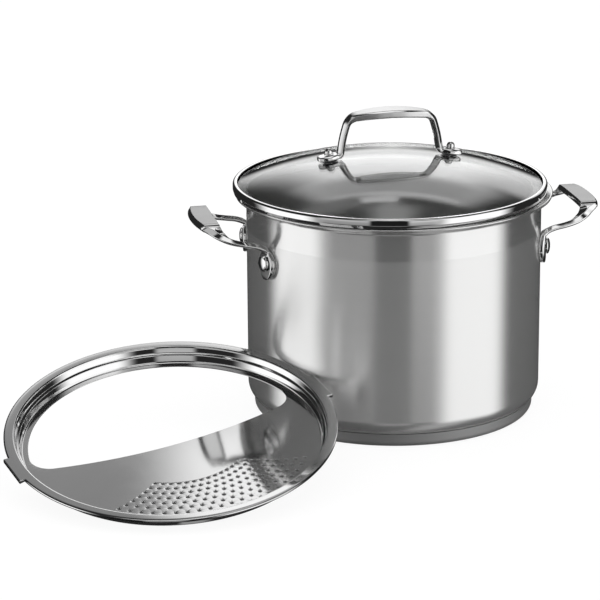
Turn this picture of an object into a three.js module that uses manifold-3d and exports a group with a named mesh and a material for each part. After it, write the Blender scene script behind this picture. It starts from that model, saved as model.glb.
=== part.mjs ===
// Pasta pot with a glass lid and a lock-in strainer insert.
// Millimetres, +Z up. The origin is the centre of the pot's base on the table, X runs through both
// side handles, and the strainer insert leans beside the pot, at the front left.
import * as THREE from "three";
import { mergeVertices } from "three/addons/utils/BufferGeometryUtils.js";
import Module from "manifold-3d";

const wasm = await Module();
wasm.setup();

// Counts of sides and steps
const TURN_SIDES = 40;
const SMALL_TURN_SIDES = 10;
const HOLE_SIDES = 6;
const CORNER_STEPS = 3;
const FOLD_STEPS = 2;
const LOOP_STEPS = 10;
const DOME_CROWN_STEPS = 2;
const DOME_SLOPE_STEPS = 3;
const OUTLINE_STEPS = 5;
const OPENING_STEPS = 8;

// Fits
const GAP = 0.3;
const OVERRUN = 2;
const WELD = 0.0001;

// Pot body: one drawn sheet with a rounded bottom corner and a flared lip
const POT_RADIUS = 120.8;
const POT_WALL = 0.8;
const POT_TOP = 183.2;
const POT_CORNER = 14;
const LIP_REACH = 9.2;
const LIP_FLARE = 5;
const LIP_RISE_ANGLE = THREE.MathUtils.degToRad(20);
const LIP_EDGE_DROP = 1.4;
const LIP_EDGE_TURN = 1.2;

// Base: an aluminium disc held by a steel cap
const BASE_HEIGHT = 8.5;
const CAP_INSET = 5.3;
const CAP_WALL = 0.8;
const CAP_CORNER = 5;
const CAP_SEAM_RISE = 2.7;
const CAP_EDGE_BEVEL = 0.6;

// Side handles: cast loops, each on two riveted flanges
const RIVET_ANGLE = THREE.MathUtils.degToRad(21);
const RIVET_DEPTH = 43.2;
const FLANGE_THICKNESS = 4.2;
const FLANGE_HALF_WIDTH = 10;
const FLANGE_TIP_DROP = 13.8;
const FLANGE_TIP_HALF_WIDTH = 2.6;
const FLANGE_NECK_RISE = 9.5;
const FLANGE_NECK_HALF_WIDTH = 4.6;
const FLANGE_BEVEL = 1.1;
const HANDLE_REACH = 48.3;
const HANDLE_RISE = 31.4;
const GRIP_WIDTH = 18.8;
const GRIP_THICKNESS = 6.4;
const ARM_WIDTH = 7.6;
const ARM_THICKNESS = 4.3;

// Rivets
const RIVET_HEAD_RADIUS = 6.5;
const RIVET_HEAD_HEIGHT = 3.2;
const RIVET_EDGE = 0.9;
const RIVET_SHANK_RADIUS = 3;
const RIVET_INNER_HEAD_RADIUS = 5;
const RIVET_INNER_HEAD_HEIGHT = 1.6;

// Lid: a tempered glass dome in a steel rim band
const LID_SHIFT = -3.2;
const GLASS_INSET = 3.2;
const GLASS_DOME_RADIUS = 340.3;
const GLASS_THICKNESS = 4;
const GLASS_SEAT = 0.9;
const BAND_INSET = 1.4;
const BAND_WALL = 0.8;
const BAND_HEIGHT = 8.1;
const BAND_SHOULDER = 2.2;
const BAND_LIP_WIDTH = 5;
const SKIRT_CLEARANCE = 3.8;
const SKIRT_DEPTH = 6;

// Lid handle: a cast loop on two feet, each screwed through the glass
const FOOT_RADIUS = 50;
const FOOT_THICKNESS = 3.9;
const FOOT_HALF_WIDTH = 6.6;
const FOOT_TIP_REACH = 9.8;
const FOOT_TIP_HALF_WIDTH = 2.8;
const FOOT_HEEL_REACH = 12.2;
const FOOT_HEEL_HALF_WIDTH = 4.6;
const FOOT_BEVEL = 0.9;
const LID_GRIP_RISE = 37.8;
const LID_GRIP_WIDTH = 21;
const LID_GRIP_THICKNESS = 6.4;
const LEG_WIDTH = 9.2;
const LEG_THICKNESS = 5.6;
const LEG_NUT_CLEARANCE = 2.2;

// Lid screws, nuts and washers
const SCREW_RADIUS = 2.3;
const SCREW_HEAD_RADIUS = 5.4;
const SCREW_HEAD_HEIGHT = 2.6;
const SCREW_END_RISE = 2.6;
const NUT_RADIUS = 3.9;
const NUT_HEIGHT = 5.2;
const NUT_BAND_HEIGHT = 2.2;
const WASHER_RADIUS = 6.4;
const WASHER_THICKNESS = 0.9;
const BORE_CLEARANCE = 0.4;

// Strainer insert: one pressed sheet with a flange, a stepped collar and a perforated plate
const SHEET = 0.8;
const FLANGE_INSET = 0.5;
const FLANGE_WIDTH = 8.9;
const FLANGE_FOLD = 1.6;
const FLANGE_HEM = 1.2;
const COLLAR_STEP_DEPTH = 5.6;
const COLLAR_STEP_WIDTH = 2.2;
const COLLAR_TAPER = 1.8;
const PLATE_DEPTH = 13;
const PLATE_FOLD = 1.6;
const PLATE_RING_WIDTH = 5.6;
const OPENING_EDGE_RADIUS = 380;
const OPENING_EDGE_OFFSET = -6.5;
const OPENING_CORNER = 17;
const HOLE_RADIUS = 1.5;
const HOLE_RINGS = 8;
const FIRST_RING_HOLES = 14;
const HOLE_MARGIN = 4.35;
const RING_PITCH = 6.55;
const FIRST_RING_SPAN = THREE.MathUtils.degToRad(72);
const LAST_RING_SPAN = THREE.MathUtils.degToRad(98.3);
const TAB_LENGTH = 33;
const TAB_OVERHANG = 2.7;
const TAB_ROOT_WIDTH = 3.5;
const TAB_DROP = 3;

// Where the insert stands: its flange leans on the pot and its collar rests on the table
const INSERT_LEAN = THREE.MathUtils.degToRad(13.3);
const INSERT_HEADING = THREE.MathUtils.degToRad(-13.3);
const INSERT_TURN = THREE.MathUtils.degToRad(28);
const INSERT_BEARING = THREE.MathUtils.degToRad(212.7);

// Heights and radii that follow from the sizes above
const lipRadius = POT_RADIUS + LIP_REACH;
const rivetHeight = POT_TOP - RIVET_DEPTH;
const handleHalfSpan = (POT_RADIUS + GAP + FLANGE_THICKNESS / 2) * Math.sin(RIVET_ANGLE);
const capRadius = POT_RADIUS - CAP_INSET;
const capSeamHeight = BASE_HEIGHT + CAP_SEAM_RISE;
const cornerCentreRadius = POT_RADIUS - POT_CORNER;
const cornerCentreHeight = BASE_HEIGHT + POT_CORNER;
const bandRadius = lipRadius - BAND_INSET;
const bandLipRadius = bandRadius - BAND_LIP_WIDTH;
const skirtRadius = POT_RADIUS - POT_WALL - SKIRT_CLEARANCE;
const glassRadius = bandRadius - GLASS_INSET;
const bandBottom = POT_TOP + GAP;
const bandTop = bandBottom + BAND_HEIGHT;
const domeInnerRadius = GLASS_DOME_RADIUS - GLASS_THICKNESS;
const glassEdgeRise = Math.sqrt(domeInnerRadius ** 2 - glassRadius ** 2);
const domeCentreHeight = bandBottom + BAND_WALL + GLASS_SEAT - glassEdgeRise;
const glassTop = domeCentreHeight + GLASS_DOME_RADIUS;
const legFootRadius = FOOT_RADIUS - NUT_RADIUS - LEG_NUT_CLEARANCE - LEG_THICKNESS / 2;
const footLean = Math.asin(FOOT_RADIUS / GLASS_DOME_RADIUS);
const footUnderside = GLASS_DOME_RADIUS + GAP + WASHER_THICKNESS + GAP;
const footTopFace = footUnderside + FOOT_THICKNESS;
const flangeRadius = lipRadius - FLANGE_INSET;
const flangeFoldRadius = flangeRadius - FLANGE_WIDTH;
const collarStepRadius = flangeFoldRadius - COLLAR_STEP_WIDTH;
const collarFootRadius = collarStepRadius - COLLAR_TAPER;
const openingRadius = collarFootRadius - PLATE_RING_WIDTH;
const firstRingRadius = openingRadius - HOLE_MARGIN - (HOLE_RINGS - 1) * RING_PITCH;
const tabReach = flangeRadius + TAB_OVERHANG;
const tabRootRadius = flangeRadius - TAB_ROOT_WIDTH;

// A closed three.js geometry as a solid that can be joined and cut.
function solidOf(geometry) {
  const bare = new THREE.BufferGeometry();
  bare.setAttribute("position", geometry.getAttribute("position"));
  if (geometry.index) bare.setIndex(geometry.index);
  const merged = mergeVertices(bare, WELD);
  const corners = merged.index.array;
  const kept = [];
  for (let i = 0; i < corners.length; i += 3) {
    const [a, b, c] = [corners[i], corners[i + 1], corners[i + 2]];
    if (a !== b && b !== c && c !== a) kept.push(a, b, c);
  }
  const mesh = new wasm.Mesh({
    numProp: 3,
    vertProperties: merged.getAttribute("position").array,
    triVerts: new Uint32Array(kept),
  });
  return new wasm.Manifold(mesh);
}

function geometryOf(solid) {
  const mesh = solid.getMesh();
  const geometry = new THREE.BufferGeometry();
  geometry.setAttribute("position", new THREE.BufferAttribute(mesh.vertProperties, 3));
  geometry.setIndex(new THREE.BufferAttribute(mesh.triVerts, 1));
  geometry.computeVertexNormals();
  return geometry;
}

// Twice the area that an outline encloses, negative when it runs clockwise.
function windingOf(outline) {
  return outline.reduce((sum, p, i) => sum + p.cross(outline[(i + 1) % outline.length]), 0);
}

// A profile of (radius, height) points turned round the Z axis.
function turned(profile, sides = TURN_SIDES) {
  const outline = profile.map(([radius, height]) => new THREE.Vector2(radius, height));
  if (windingOf(outline) < 0) outline.reverse();
  outline.push(outline[0].clone());
  return new THREE.LatheGeometry(outline, sides).rotateX(Math.PI / 2);
}

// Points of an arc as [x, y] pairs, both ends included.
function arc(x, y, radius, from, to, steps = CORNER_STEPS) {
  return Array.from({ length: steps + 1 }, (_, i) => {
    const angle = from + ((to - from) * i) / steps;
    return [x + radius * Math.cos(angle), y + radius * Math.sin(angle)];
  });
}

// An outline in X and Y pushed up along Z from one height to another, with bevelled edges.
function plate(shape, from, to, bevel = 0, curveSegments = OUTLINE_STEPS) {
  const options = {
    depth: to - from - 2 * bevel,
    curveSegments,
    bevelEnabled: bevel > 0,
    bevelThickness: bevel,
    bevelSize: bevel,
    bevelOffset: -bevel,
    bevelSegments: 1,
  };
  return new THREE.ExtrudeGeometry(shape, options).translate(0, 0, from + bevel);
}

function cylinder(radius, from, to, sides = SMALL_TURN_SIDES) {
  const length = to - from;
  return new THREE.CylinderGeometry(radius, radius, length, sides)
    .rotateX(Math.PI / 2)
    .translate(0, 0, from + length / 2);
}

// A bar of changing section along a path. Each station gives its centre, the directions across and
// through the bar, and the width and thickness there. The section is a rectangle with cut corners.
const SECTION_SHARES = [
  [0.5, 0.1],
  [0.37, 0.5],
  [-0.42, 0.5],
  [-0.5, 0.2],
  [-0.5, -0.22],
  [-0.34, -0.5],
  [0.34, -0.5],
  [0.5, -0.28],
];

function bar(stations) {
  const sides = SECTION_SHARES.length;
  const places = [];
  for (const { centre, across, through, width, thickness } of stations) {
    for (const [acrossShare, throughShare] of SECTION_SHARES) {
      const corner = centre.clone();
      corner.addScaledVector(across, acrossShare * width);
      corner.addScaledVector(through, throughShare * thickness);
      places.push(...corner.toArray());
    }
  }
  const faces = [];
  for (let ring = 0; ring < stations.length - 1; ring += 1) {
    for (let side = 0; side < sides; side += 1) {
      const a = ring * sides + side;
      const b = ring * sides + ((side + 1) % sides);
      faces.push(a, a + sides, b, b, a + sides, b + sides);
    }
  }
  const last = (stations.length - 1) * sides;
  for (let side = 1; side < sides - 1; side += 1) {
    faces.push(0, side, side + 1, last, last + side + 1, last + side);
  }
  const geometry = new THREE.BufferGeometry();
  geometry.setAttribute("position", new THREE.Float32BufferAttribute(places, 3));
  geometry.setIndex(faces);
  return geometry;
}

// Stations of a symmetric loop, from its first foot over the grip to its other foot. The half path
// runs from the foot to the middle of the grip, and sizes holds a width and a thickness for each
// of its points. Each station gets its centre, the direction along the bar, and its size.
function loopStations(halfPath, sizes) {
  const mirrored = halfPath.slice(0, -1).reverse();
  const path = [...halfPath, ...mirrored.map((p) => p.clone().multiply(new THREE.Vector3(1, -1, 1)))];
  const sizePath = [...sizes, ...sizes.slice(0, -1).reverse()];
  const centreLine = new THREE.CatmullRomCurve3(path, false, "centripetal");
  const sizeLine = new THREE.CatmullRomCurve3(
    sizePath.map(([width, thickness]) => new THREE.Vector3(width, thickness, 0)),
  );
  const steps = 2 * LOOP_STEPS;
  return Array.from({ length: steps + 1 }, (_, i) => {
    const share = i / steps;
    const size = sizeLine.getPoint(share);
    return { centre: centreLine.getPoint(share), along: centreLine.getTangent(share), size };
  });
}

// Pot body
function potProfile() {
  const flareX = POT_RADIUS + LIP_FLARE;
  const flareStart = Math.PI;
  const flareEnd = Math.PI / 2 + LIP_RISE_ANGLE;
  const slopeEndRadius = lipRadius - LIP_EDGE_TURN;
  const flareTopRadius = flareX + LIP_FLARE * Math.cos(flareEnd);
  const slopeRise = (slopeEndRadius - flareTopRadius) * Math.tan(LIP_RISE_ANGLE);
  const flareTopHeight = POT_TOP - POT_WALL - slopeRise;
  const flareZ = flareTopHeight - LIP_FLARE * Math.sin(flareEnd);
  const outer = [
    [0, BASE_HEIGHT],
    ...arc(cornerCentreRadius, cornerCentreHeight, POT_CORNER, -Math.PI / 2, 0),
    ...arc(flareX, flareZ, LIP_FLARE, flareStart, flareEnd, FOLD_STEPS),
    [slopeEndRadius - POT_WALL, POT_TOP - POT_WALL - LIP_EDGE_TURN * Math.tan(LIP_RISE_ANGLE)],
    [lipRadius - POT_WALL, POT_TOP - LIP_EDGE_DROP - LIP_EDGE_TURN],
    [lipRadius, POT_TOP - LIP_EDGE_DROP - LIP_EDGE_TURN],
  ];
  const innerCorner = POT_CORNER - POT_WALL;
  const innerFlare = LIP_FLARE + POT_WALL;
  const inner = [
    [lipRadius, POT_TOP - LIP_EDGE_TURN],
    [slopeEndRadius, POT_TOP],
    ...arc(flareX, flareZ, innerFlare, flareEnd, flareStart, FOLD_STEPS),
    ...arc(cornerCentreRadius, cornerCentreHeight, innerCorner, 0, -Math.PI / 2),
    [0, BASE_HEIGHT + POT_WALL],
  ];
  return [...outer, ...inner];
}

// The frame of one rivet, with its origin on the wall: Z points out, -X up the pot, Y along the wall.
function rivetFrame(angle) {
  return new THREE.Matrix4()
    .makeRotationZ(angle)
    .multiply(new THREE.Matrix4().makeTranslation(POT_RADIUS, 0, rivetHeight))
    .multiply(new THREE.Matrix4().makeRotationY(Math.PI / 2));
}

const rivetAngles = {
  rivet_right_front: -RIVET_ANGLE,
  rivet_right_back: RIVET_ANGLE,
  rivet_left_back: Math.PI - RIVET_ANGLE,
  rivet_left_front: Math.PI + RIVET_ANGLE,
};

function potBody() {
  let body = solidOf(turned(potProfile()));
  const hole = cylinder(RIVET_SHANK_RADIUS + GAP, -POT_WALL - OVERRUN, OVERRUN);
  for (const angle of Object.values(rivetAngles)) {
    body = body.subtract(solidOf(hole.clone().applyMatrix4(rivetFrame(angle))));
  }
  return geometryOf(body);
}

// Base
function baseCap() {
  const inner = capRadius - CAP_WALL;
  const innerCorner = CAP_CORNER - CAP_WALL;
  const cornerX = capRadius - CAP_CORNER;
  return turned([
    [0, 0],
    ...arc(cornerX, CAP_CORNER, CAP_CORNER, -Math.PI / 2, 0, FOLD_STEPS),
    [capRadius, capSeamHeight],
    [inner, capSeamHeight - CAP_EDGE_BEVEL],
    ...arc(cornerX, CAP_CORNER, innerCorner, 0, -Math.PI / 2, FOLD_STEPS),
    [0, CAP_WALL],
  ]);
}

function baseCore() {
  const radius = capRadius - CAP_WALL - GAP;
  const clear = POT_CORNER + GAP;
  const startAngle = -Math.PI / 2;
  const endAngle = -Math.acos((radius - cornerCentreRadius) / clear);
  const edge = arc(cornerCentreRadius, cornerCentreHeight, clear, endAngle, startAngle, FOLD_STEPS);
  return turned([
    [0, CAP_WALL],
    [capRadius - CAP_CORNER, CAP_WALL],
    [radius, CAP_CORNER],
    ...edge,
    [cornerCentreRadius, BASE_HEIGHT],
    [0, BASE_HEIGHT],
  ]);
}

// Side handle, on the +X side. Each row holds a point's shares of the reach past the wall, of the
// half span and of the rise above the rivet.
const HANDLE_PATH_SHARES = [
  [-0.124, 0.996, 0.194],
  [-0.109, 1.0, 0.29],
  [-0.039, 0.994, 0.408],
  [0.087, 0.988, 0.471],
  [0.257, 0.969, 0.516],
  [0.447, 0.924, 0.583],
  [0.596, 0.856, 0.688],
  [0.741, 0.716, 0.85],
  [0.791, 0.453, 0.895],
  [0.801, 0.227, 0.898],
  [0.805, 0.0, 0.898],
];
// Each point's place between arm and grip, as a share: 0 is the arm's section, 1 the grip's.
const HANDLE_SWELL_SHARES = [0.1, 0.02, 0, 0, 0.02, 0.07, 0.2, 0.65, 0.9, 0.98, 1];

function handleBar() {
  const halfPath = HANDLE_PATH_SHARES.map(
    ([out, side, up]) =>
      new THREE.Vector3(
        POT_RADIUS + out * HANDLE_REACH,
        -side * handleHalfSpan,
        rivetHeight + up * HANDLE_RISE,
      ),
  );
  const sizes = HANDLE_SWELL_SHARES.map((share) => [
    ARM_WIDTH + share * (GRIP_WIDTH - ARM_WIDTH),
    ARM_THICKNESS + share * (GRIP_THICKNESS - ARM_THICKNESS),
  ]);
  const stations = loopStations(halfPath, sizes);
  const wallTangent = new THREE.Vector3(-Math.sin(RIVET_ANGLE), -Math.cos(RIVET_ANGLE), 0);
  return bar(
    stations.map(({ centre, along, size }) => {
      const level = new THREE.Vector3(along.y, -along.x, 0);
      const lean = level.length();
      const side = wallTangent.clone();
      if (centre.y > 0) side.y *= -1;
      const across = level.lerp(side, Math.max(0, 1 - 2 * lean)).normalize();
      const through = new THREE.Vector3().crossVectors(across, along).normalize();
      return { centre, across, through, width: size.x, thickness: size.y };
    }),
  );
}

// The teardrop flange under one rivet. In its outline, -X is up the pot and Y runs along the wall.
function flangeOutline() {
  const shape = new THREE.Shape();
  const half = FLANGE_HALF_WIDTH;
  const shoulder = half / 2;
  shape.moveTo(FLANGE_TIP_DROP, -FLANGE_TIP_HALF_WIDTH);
  shape.lineTo(FLANGE_TIP_DROP, FLANGE_TIP_HALF_WIDTH);
  shape.quadraticCurveTo(shoulder + half / 2, half, shoulder / 2, half);
  shape.quadraticCurveTo(-shoulder, half, -FLANGE_NECK_RISE, FLANGE_NECK_HALF_WIDTH);
  shape.lineTo(-FLANGE_NECK_RISE, -FLANGE_NECK_HALF_WIDTH);
  shape.quadraticCurveTo(-shoulder, -half, shoulder / 2, -half);
  shape.quadraticCurveTo(shoulder + half / 2, -half, FLANGE_TIP_DROP, -FLANGE_TIP_HALF_WIDTH);
  return shape;
}

function sideHandle() {
  const flange = plate(flangeOutline(), -OVERRUN, GAP + FLANGE_THICKNESS, FLANGE_BEVEL);
  const hole = cylinder(RIVET_SHANK_RADIUS + GAP, -2 * OVERRUN, GAP + FLANGE_THICKNESS + OVERRUN);
  const seatFace = GAP + FLANGE_THICKNESS;
  const seat = cylinder(RIVET_HEAD_RADIUS + GAP, seatFace, seatFace + RIVET_HEAD_HEIGHT + OVERRUN);
  let handle = solidOf(handleBar());
  for (const angle of [-RIVET_ANGLE, RIVET_ANGLE]) {
    handle = handle.add(solidOf(flange.clone().applyMatrix4(rivetFrame(angle))));
  }
  for (const angle of [-RIVET_ANGLE, RIVET_ANGLE]) {
    handle = handle.subtract(solidOf(hole.clone().applyMatrix4(rivetFrame(angle))));
    handle = handle.subtract(solidOf(seat.clone().applyMatrix4(rivetFrame(angle))));
  }
  const wall = cylinder(POT_RADIUS + GAP, 0, POT_TOP, TURN_SIDES);
  return geometryOf(handle.subtract(solidOf(wall)));
}

// A rivet along Z: inner head inside the pot, shank through wall and flange, domed head outside.
function rivet() {
  const headFace = 2 * GAP + FLANGE_THICKNESS;
  const innerFace = -POT_WALL - 2 * GAP;
  const domeRise = RIVET_HEAD_HEIGHT;
  return turned(
    [
      [0, innerFace - RIVET_INNER_HEAD_HEIGHT],
      [RIVET_INNER_HEAD_RADIUS - RIVET_EDGE, innerFace - RIVET_INNER_HEAD_HEIGHT],
      [RIVET_INNER_HEAD_RADIUS, innerFace - RIVET_INNER_HEAD_HEIGHT + RIVET_EDGE],
      [RIVET_INNER_HEAD_RADIUS, innerFace],
      [RIVET_SHANK_RADIUS, innerFace],
      [RIVET_SHANK_RADIUS, headFace],
      [RIVET_HEAD_RADIUS, headFace],
      [RIVET_HEAD_RADIUS, headFace + RIVET_EDGE],
      [RIVET_HEAD_RADIUS * Math.cos(Math.PI / 5), headFace + domeRise * Math.sin(Math.PI / 4)],
      [RIVET_HEAD_RADIUS * Math.cos(Math.PI / 3), headFace + domeRise * Math.sin(Math.PI / 3)],
      [0, headFace + RIVET_HEAD_HEIGHT],
    ],
    SMALL_TURN_SIDES,
  );
}

// Lid glass: a slice of a sphere with a hole for each handle screw. The profile has a point at the
// screws, so that the washers seat on it.
function domePoints(radius) {
  const top = Math.PI / 2;
  const screws = top - footLean;
  const edge = Math.acos(glassRadius / radius);
  const slope = arc(0, domeCentreHeight, radius, screws, edge, DOME_SLOPE_STEPS);
  return [...arc(0, domeCentreHeight, radius, top, screws, DOME_CROWN_STEPS), ...slope.slice(1)];
}

// The frame of one foot of the lid handle: its origin is the centre of the dome's sphere, Z runs
// out through the glass at the screw, and X points along the foot to its tip.
function footFrame(side) {
  return new THREE.Matrix4()
    .makeTranslation(0, 0, domeCentreHeight)
    .multiply(new THREE.Matrix4().makeRotationZ(side > 0 ? 0 : Math.PI))
    .multiply(new THREE.Matrix4().makeRotationY(footLean));
}

function lidGlass() {
  const profile = [...domePoints(GLASS_DOME_RADIUS), ...domePoints(domeInnerRadius).reverse()];
  let glass = solidOf(turned(profile));
  const bore = SCREW_RADIUS + BORE_CLEARANCE;
  const hole = cylinder(bore, domeInnerRadius - OVERRUN, GLASS_DOME_RADIUS + OVERRUN);
  for (const side of [-1, 1]) {
    glass = glass.subtract(solidOf(hole.clone().applyMatrix4(footFrame(side))));
  }
  return geometryOf(glass);
}

// The band is a channel that holds the edge of the glass, rests on the pot's lip and has a skirt
// that drops inside the pot.
function lidRimBand() {
  const shoulderX = bandRadius - BAND_SHOULDER;
  const shoulderZ = bandTop - BAND_SHOULDER;
  const innerShoulder = BAND_SHOULDER - BAND_WALL;
  const skirtInner = skirtRadius - BAND_WALL;
  const skirtBottom = bandBottom - SKIRT_DEPTH;
  return turned([
    [skirtRadius, bandBottom],
    [bandRadius - BAND_WALL, bandBottom],
    [bandRadius, bandBottom + BAND_WALL],
    ...arc(shoulderX, shoulderZ, BAND_SHOULDER, 0, Math.PI / 2, FOLD_STEPS),
    [bandLipRadius, bandTop - BAND_WALL / 4],
    [bandLipRadius, bandTop - BAND_WALL],
    ...arc(shoulderX, shoulderZ, innerShoulder, Math.PI / 2, 0, 1),
    [bandRadius - BAND_WALL, bandBottom + BAND_WALL],
    [skirtInner, bandBottom + BAND_WALL],
    [skirtInner, skirtBottom],
    [skirtRadius, skirtBottom],
  ]);
}

// Lid handle. Each row holds a point's shares of the radius at which a leg meets its foot, and of
// the height from the top of the glass to the middle of the grip.
const LID_HANDLE_PATH_SHARES = [
  [1.0, 0.0],
  [0.985, 0.13],
  [0.95, 0.38],
  [0.9, 0.63],
  [0.845, 0.8],
  [0.735, 0.905],
  [0.58, 0.945],
  [0.29, 0.985],
  [0.0, 1.0],
];
const LID_HANDLE_SWELL_SHARES = [0, 0, 0, 0.02, 0.08, 0.26, 0.52, 0.9, 1];

function lidHandleBar() {
  const legBottom = glassTop;
  const gripHeight = LID_GRIP_RISE - LID_GRIP_THICKNESS / 2;
  const halfPath = LID_HANDLE_PATH_SHARES.map(
    ([out, up]) => new THREE.Vector3(0, -out * legFootRadius, legBottom + up * gripHeight),
  );
  const sizes = LID_HANDLE_SWELL_SHARES.map((share) => [
    LEG_WIDTH + share * (LID_GRIP_WIDTH - LEG_WIDTH),
    LEG_THICKNESS + share * (LID_GRIP_THICKNESS - LEG_THICKNESS),
  ]);
  const stations = loopStations(halfPath, sizes);
  const across = new THREE.Vector3(1, 0, 0);
  return bar(
    stations.map(({ centre, along, size }) => {
      const through = new THREE.Vector3().crossVectors(across, along).normalize();
      return { centre, across, through, width: size.x, thickness: size.y };
    }),
  ).rotateZ(Math.PI / 2);
}

// A foot seen from above: X points to its tip, and the screw is at FOOT_RADIUS, on the frame's Z.
function footOutline() {
  const shape = new THREE.Shape();
  const half = FOOT_HALF_WIDTH;
  shape.moveTo(FOOT_TIP_REACH, -FOOT_TIP_HALF_WIDTH);
  shape.lineTo(FOOT_TIP_REACH, FOOT_TIP_HALF_WIDTH);
  shape.quadraticCurveTo(half, half, 0, half);
  shape.quadraticCurveTo(-half, half, -FOOT_HEEL_REACH, FOOT_HEEL_HALF_WIDTH);
  shape.lineTo(-FOOT_HEEL_REACH, -FOOT_HEEL_HALF_WIDTH);
  shape.quadraticCurveTo(-half, -half, 0, -half);
  shape.quadraticCurveTo(half, -half, FOOT_TIP_REACH, -FOOT_TIP_HALF_WIDTH);
  return shape;
}

function lidHandle() {
  const foot = plate(footOutline(), footUnderside, footTopFace, FOOT_BEVEL);
  const bore = SCREW_RADIUS + BORE_CLEARANCE;
  const hole = cylinder(bore, footUnderside - OVERRUN, footTopFace + OVERRUN);
  let handle = solidOf(lidHandleBar());
  for (const side of [-1, 1]) {
    handle = handle.add(solidOf(foot.clone().applyMatrix4(footFrame(side))));
  }
  for (const side of [-1, 1]) {
    handle = handle.subtract(solidOf(hole.clone().applyMatrix4(footFrame(side))));
  }
  return geometryOf(handle);
}

// Lid fasteners, each along Z with the dome's centre at zero: a pan-head screw from below, a washer
// on each side of the glass, and a domed nut on the foot
function lidScrew() {
  const headTop = domeInnerRadius - WASHER_THICKNESS - 2 * GAP;
  return turned(
    [
      [0, headTop - SCREW_HEAD_HEIGHT],
      [SCREW_HEAD_RADIUS / 2, headTop - SCREW_HEAD_HEIGHT],
      [SCREW_HEAD_RADIUS, headTop - SCREW_HEAD_HEIGHT / 2],
      [SCREW_HEAD_RADIUS, headTop],
      [SCREW_RADIUS, headTop],
      [SCREW_RADIUS, footTopFace + SCREW_END_RISE],
      [0, footTopFace + SCREW_END_RISE],
    ],
    SMALL_TURN_SIDES,
  );
}

function lidNut() {
  const bottom = footTopFace + GAP;
  const bore = SCREW_RADIUS + BORE_CLEARANCE;
  return turned(
    [
      [bore, bottom],
      [NUT_RADIUS, bottom],
      [NUT_RADIUS, bottom + NUT_BAND_HEIGHT],
      [NUT_RADIUS * Math.cos(Math.PI / 4), bottom + NUT_HEIGHT * Math.sin(Math.PI / 3)],
      [0, bottom + NUT_HEIGHT],
      [0, footTopFace + SCREW_END_RISE + GAP],
      [bore, footTopFace + SCREW_END_RISE + GAP],
    ],
    SMALL_TURN_SIDES,
  );
}

function lidWasher(bottom) {
  const bore = SCREW_RADIUS + BORE_CLEARANCE;
  const top = bottom + WASHER_THICKNESS;
  return turned(
    [
      [bore, bottom],
      [WASHER_RADIUS, bottom],
      [WASHER_RADIUS, top],
      [bore, top],
    ],
    SMALL_TURN_SIDES,
  );
}

// Strainer insert, in its own frame: the top of the flange is at zero, X runs from tab to tab, and
// the perforated side of the plate is towards -Y.
function insertProfile() {
  const foldX = flangeFoldRadius + FLANGE_FOLD;
  const plateFoldX = collarFootRadius - PLATE_FOLD;
  const stepTop = -COLLAR_STEP_DEPTH;
  const top = [
    [0, -PLATE_DEPTH],
    ...arc(plateFoldX, PLATE_FOLD - PLATE_DEPTH, PLATE_FOLD, -Math.PI / 2, 0, 1),
    [collarStepRadius - SHEET, stepTop - SHEET],
    [flangeFoldRadius - SHEET, stepTop],
    ...arc(foldX, -FLANGE_FOLD, FLANGE_FOLD, Math.PI, Math.PI / 2, 1),
    [flangeRadius - FLANGE_HEM, 0],
    [flangeRadius, -FLANGE_HEM],
  ];
  const bottom = [
    [flangeRadius - SHEET, -FLANGE_HEM - SHEET],
    [flangeRadius - FLANGE_HEM - SHEET, -SHEET],
    [foldX, -SHEET],
    [flangeFoldRadius + SHEET, -FLANGE_FOLD],
    [flangeFoldRadius, stepTop - SHEET / 2],
    [collarStepRadius, stepTop - 2 * SHEET],
    [collarFootRadius + SHEET, PLATE_FOLD - PLATE_DEPTH],
    [collarFootRadius, -PLATE_DEPTH - SHEET / 2],
    [plateFoldX, -PLATE_DEPTH - SHEET],
    [0, -PLATE_DEPTH - SHEET],
  ];
  return [...top, ...bottom];
}

// The pouring opening: the plate's circle and one flat arc, with rounded corners between them.
function openingOutline() {
  const edgeY = OPENING_EDGE_OFFSET + OPENING_EDGE_RADIUS;
  const toPlate = openingRadius - OPENING_CORNER;
  const toEdge = OPENING_EDGE_RADIUS - OPENING_CORNER;
  const cornerY = (toPlate ** 2 - toEdge ** 2 + edgeY ** 2) / (2 * edgeY);
  const cornerX = Math.sqrt(toPlate ** 2 - cornerY ** 2);
  const rimAngle = Math.atan2(cornerY, cornerX);
  const edgeAngle = Math.atan2(cornerY - edgeY, cornerX);
  const shape = new THREE.Shape();
  shape.absarc(0, 0, openingRadius, rimAngle, Math.PI - rimAngle, false);
  const farRim = Math.PI - rimAngle;
  const farEdge = Math.PI - edgeAngle;
  shape.absarc(-cornerX, cornerY, OPENING_CORNER, farRim, farEdge, false);
  shape.absarc(0, edgeY, OPENING_EDGE_RADIUS, farEdge, edgeAngle + 2 * Math.PI, false);
  shape.absarc(cornerX, cornerY, OPENING_CORNER, edgeAngle, rimAngle, false);
  return shape;
}

// Rings of holes, each with one hole more than the ring inside it and a slightly wider fan.
function plateHoles() {
  const plateBottom = -PLATE_DEPTH - SHEET;
  const hole = cylinder(HOLE_RADIUS, plateBottom - OVERRUN, OVERRUN - PLATE_DEPTH, HOLE_SIDES);
  const drills = [];
  for (let ring = 0; ring < HOLE_RINGS; ring += 1) {
    const share = ring / (HOLE_RINGS - 1);
    const radius = firstRingRadius + ring * RING_PITCH;
    const span = FIRST_RING_SPAN + share * (LAST_RING_SPAN - FIRST_RING_SPAN);
    const holes = FIRST_RING_HOLES + ring;
    for (let i = 0; i < holes; i += 1) {
      const angle = -Math.PI / 2 + span * (i / (holes - 1) - 1 / 2);
      const place = hole.clone().translate(radius, 0, 0).rotateZ(angle);
      drills.push(solidOf(place));
    }
  }
  return wasm.Manifold.union(drills);
}

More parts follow.
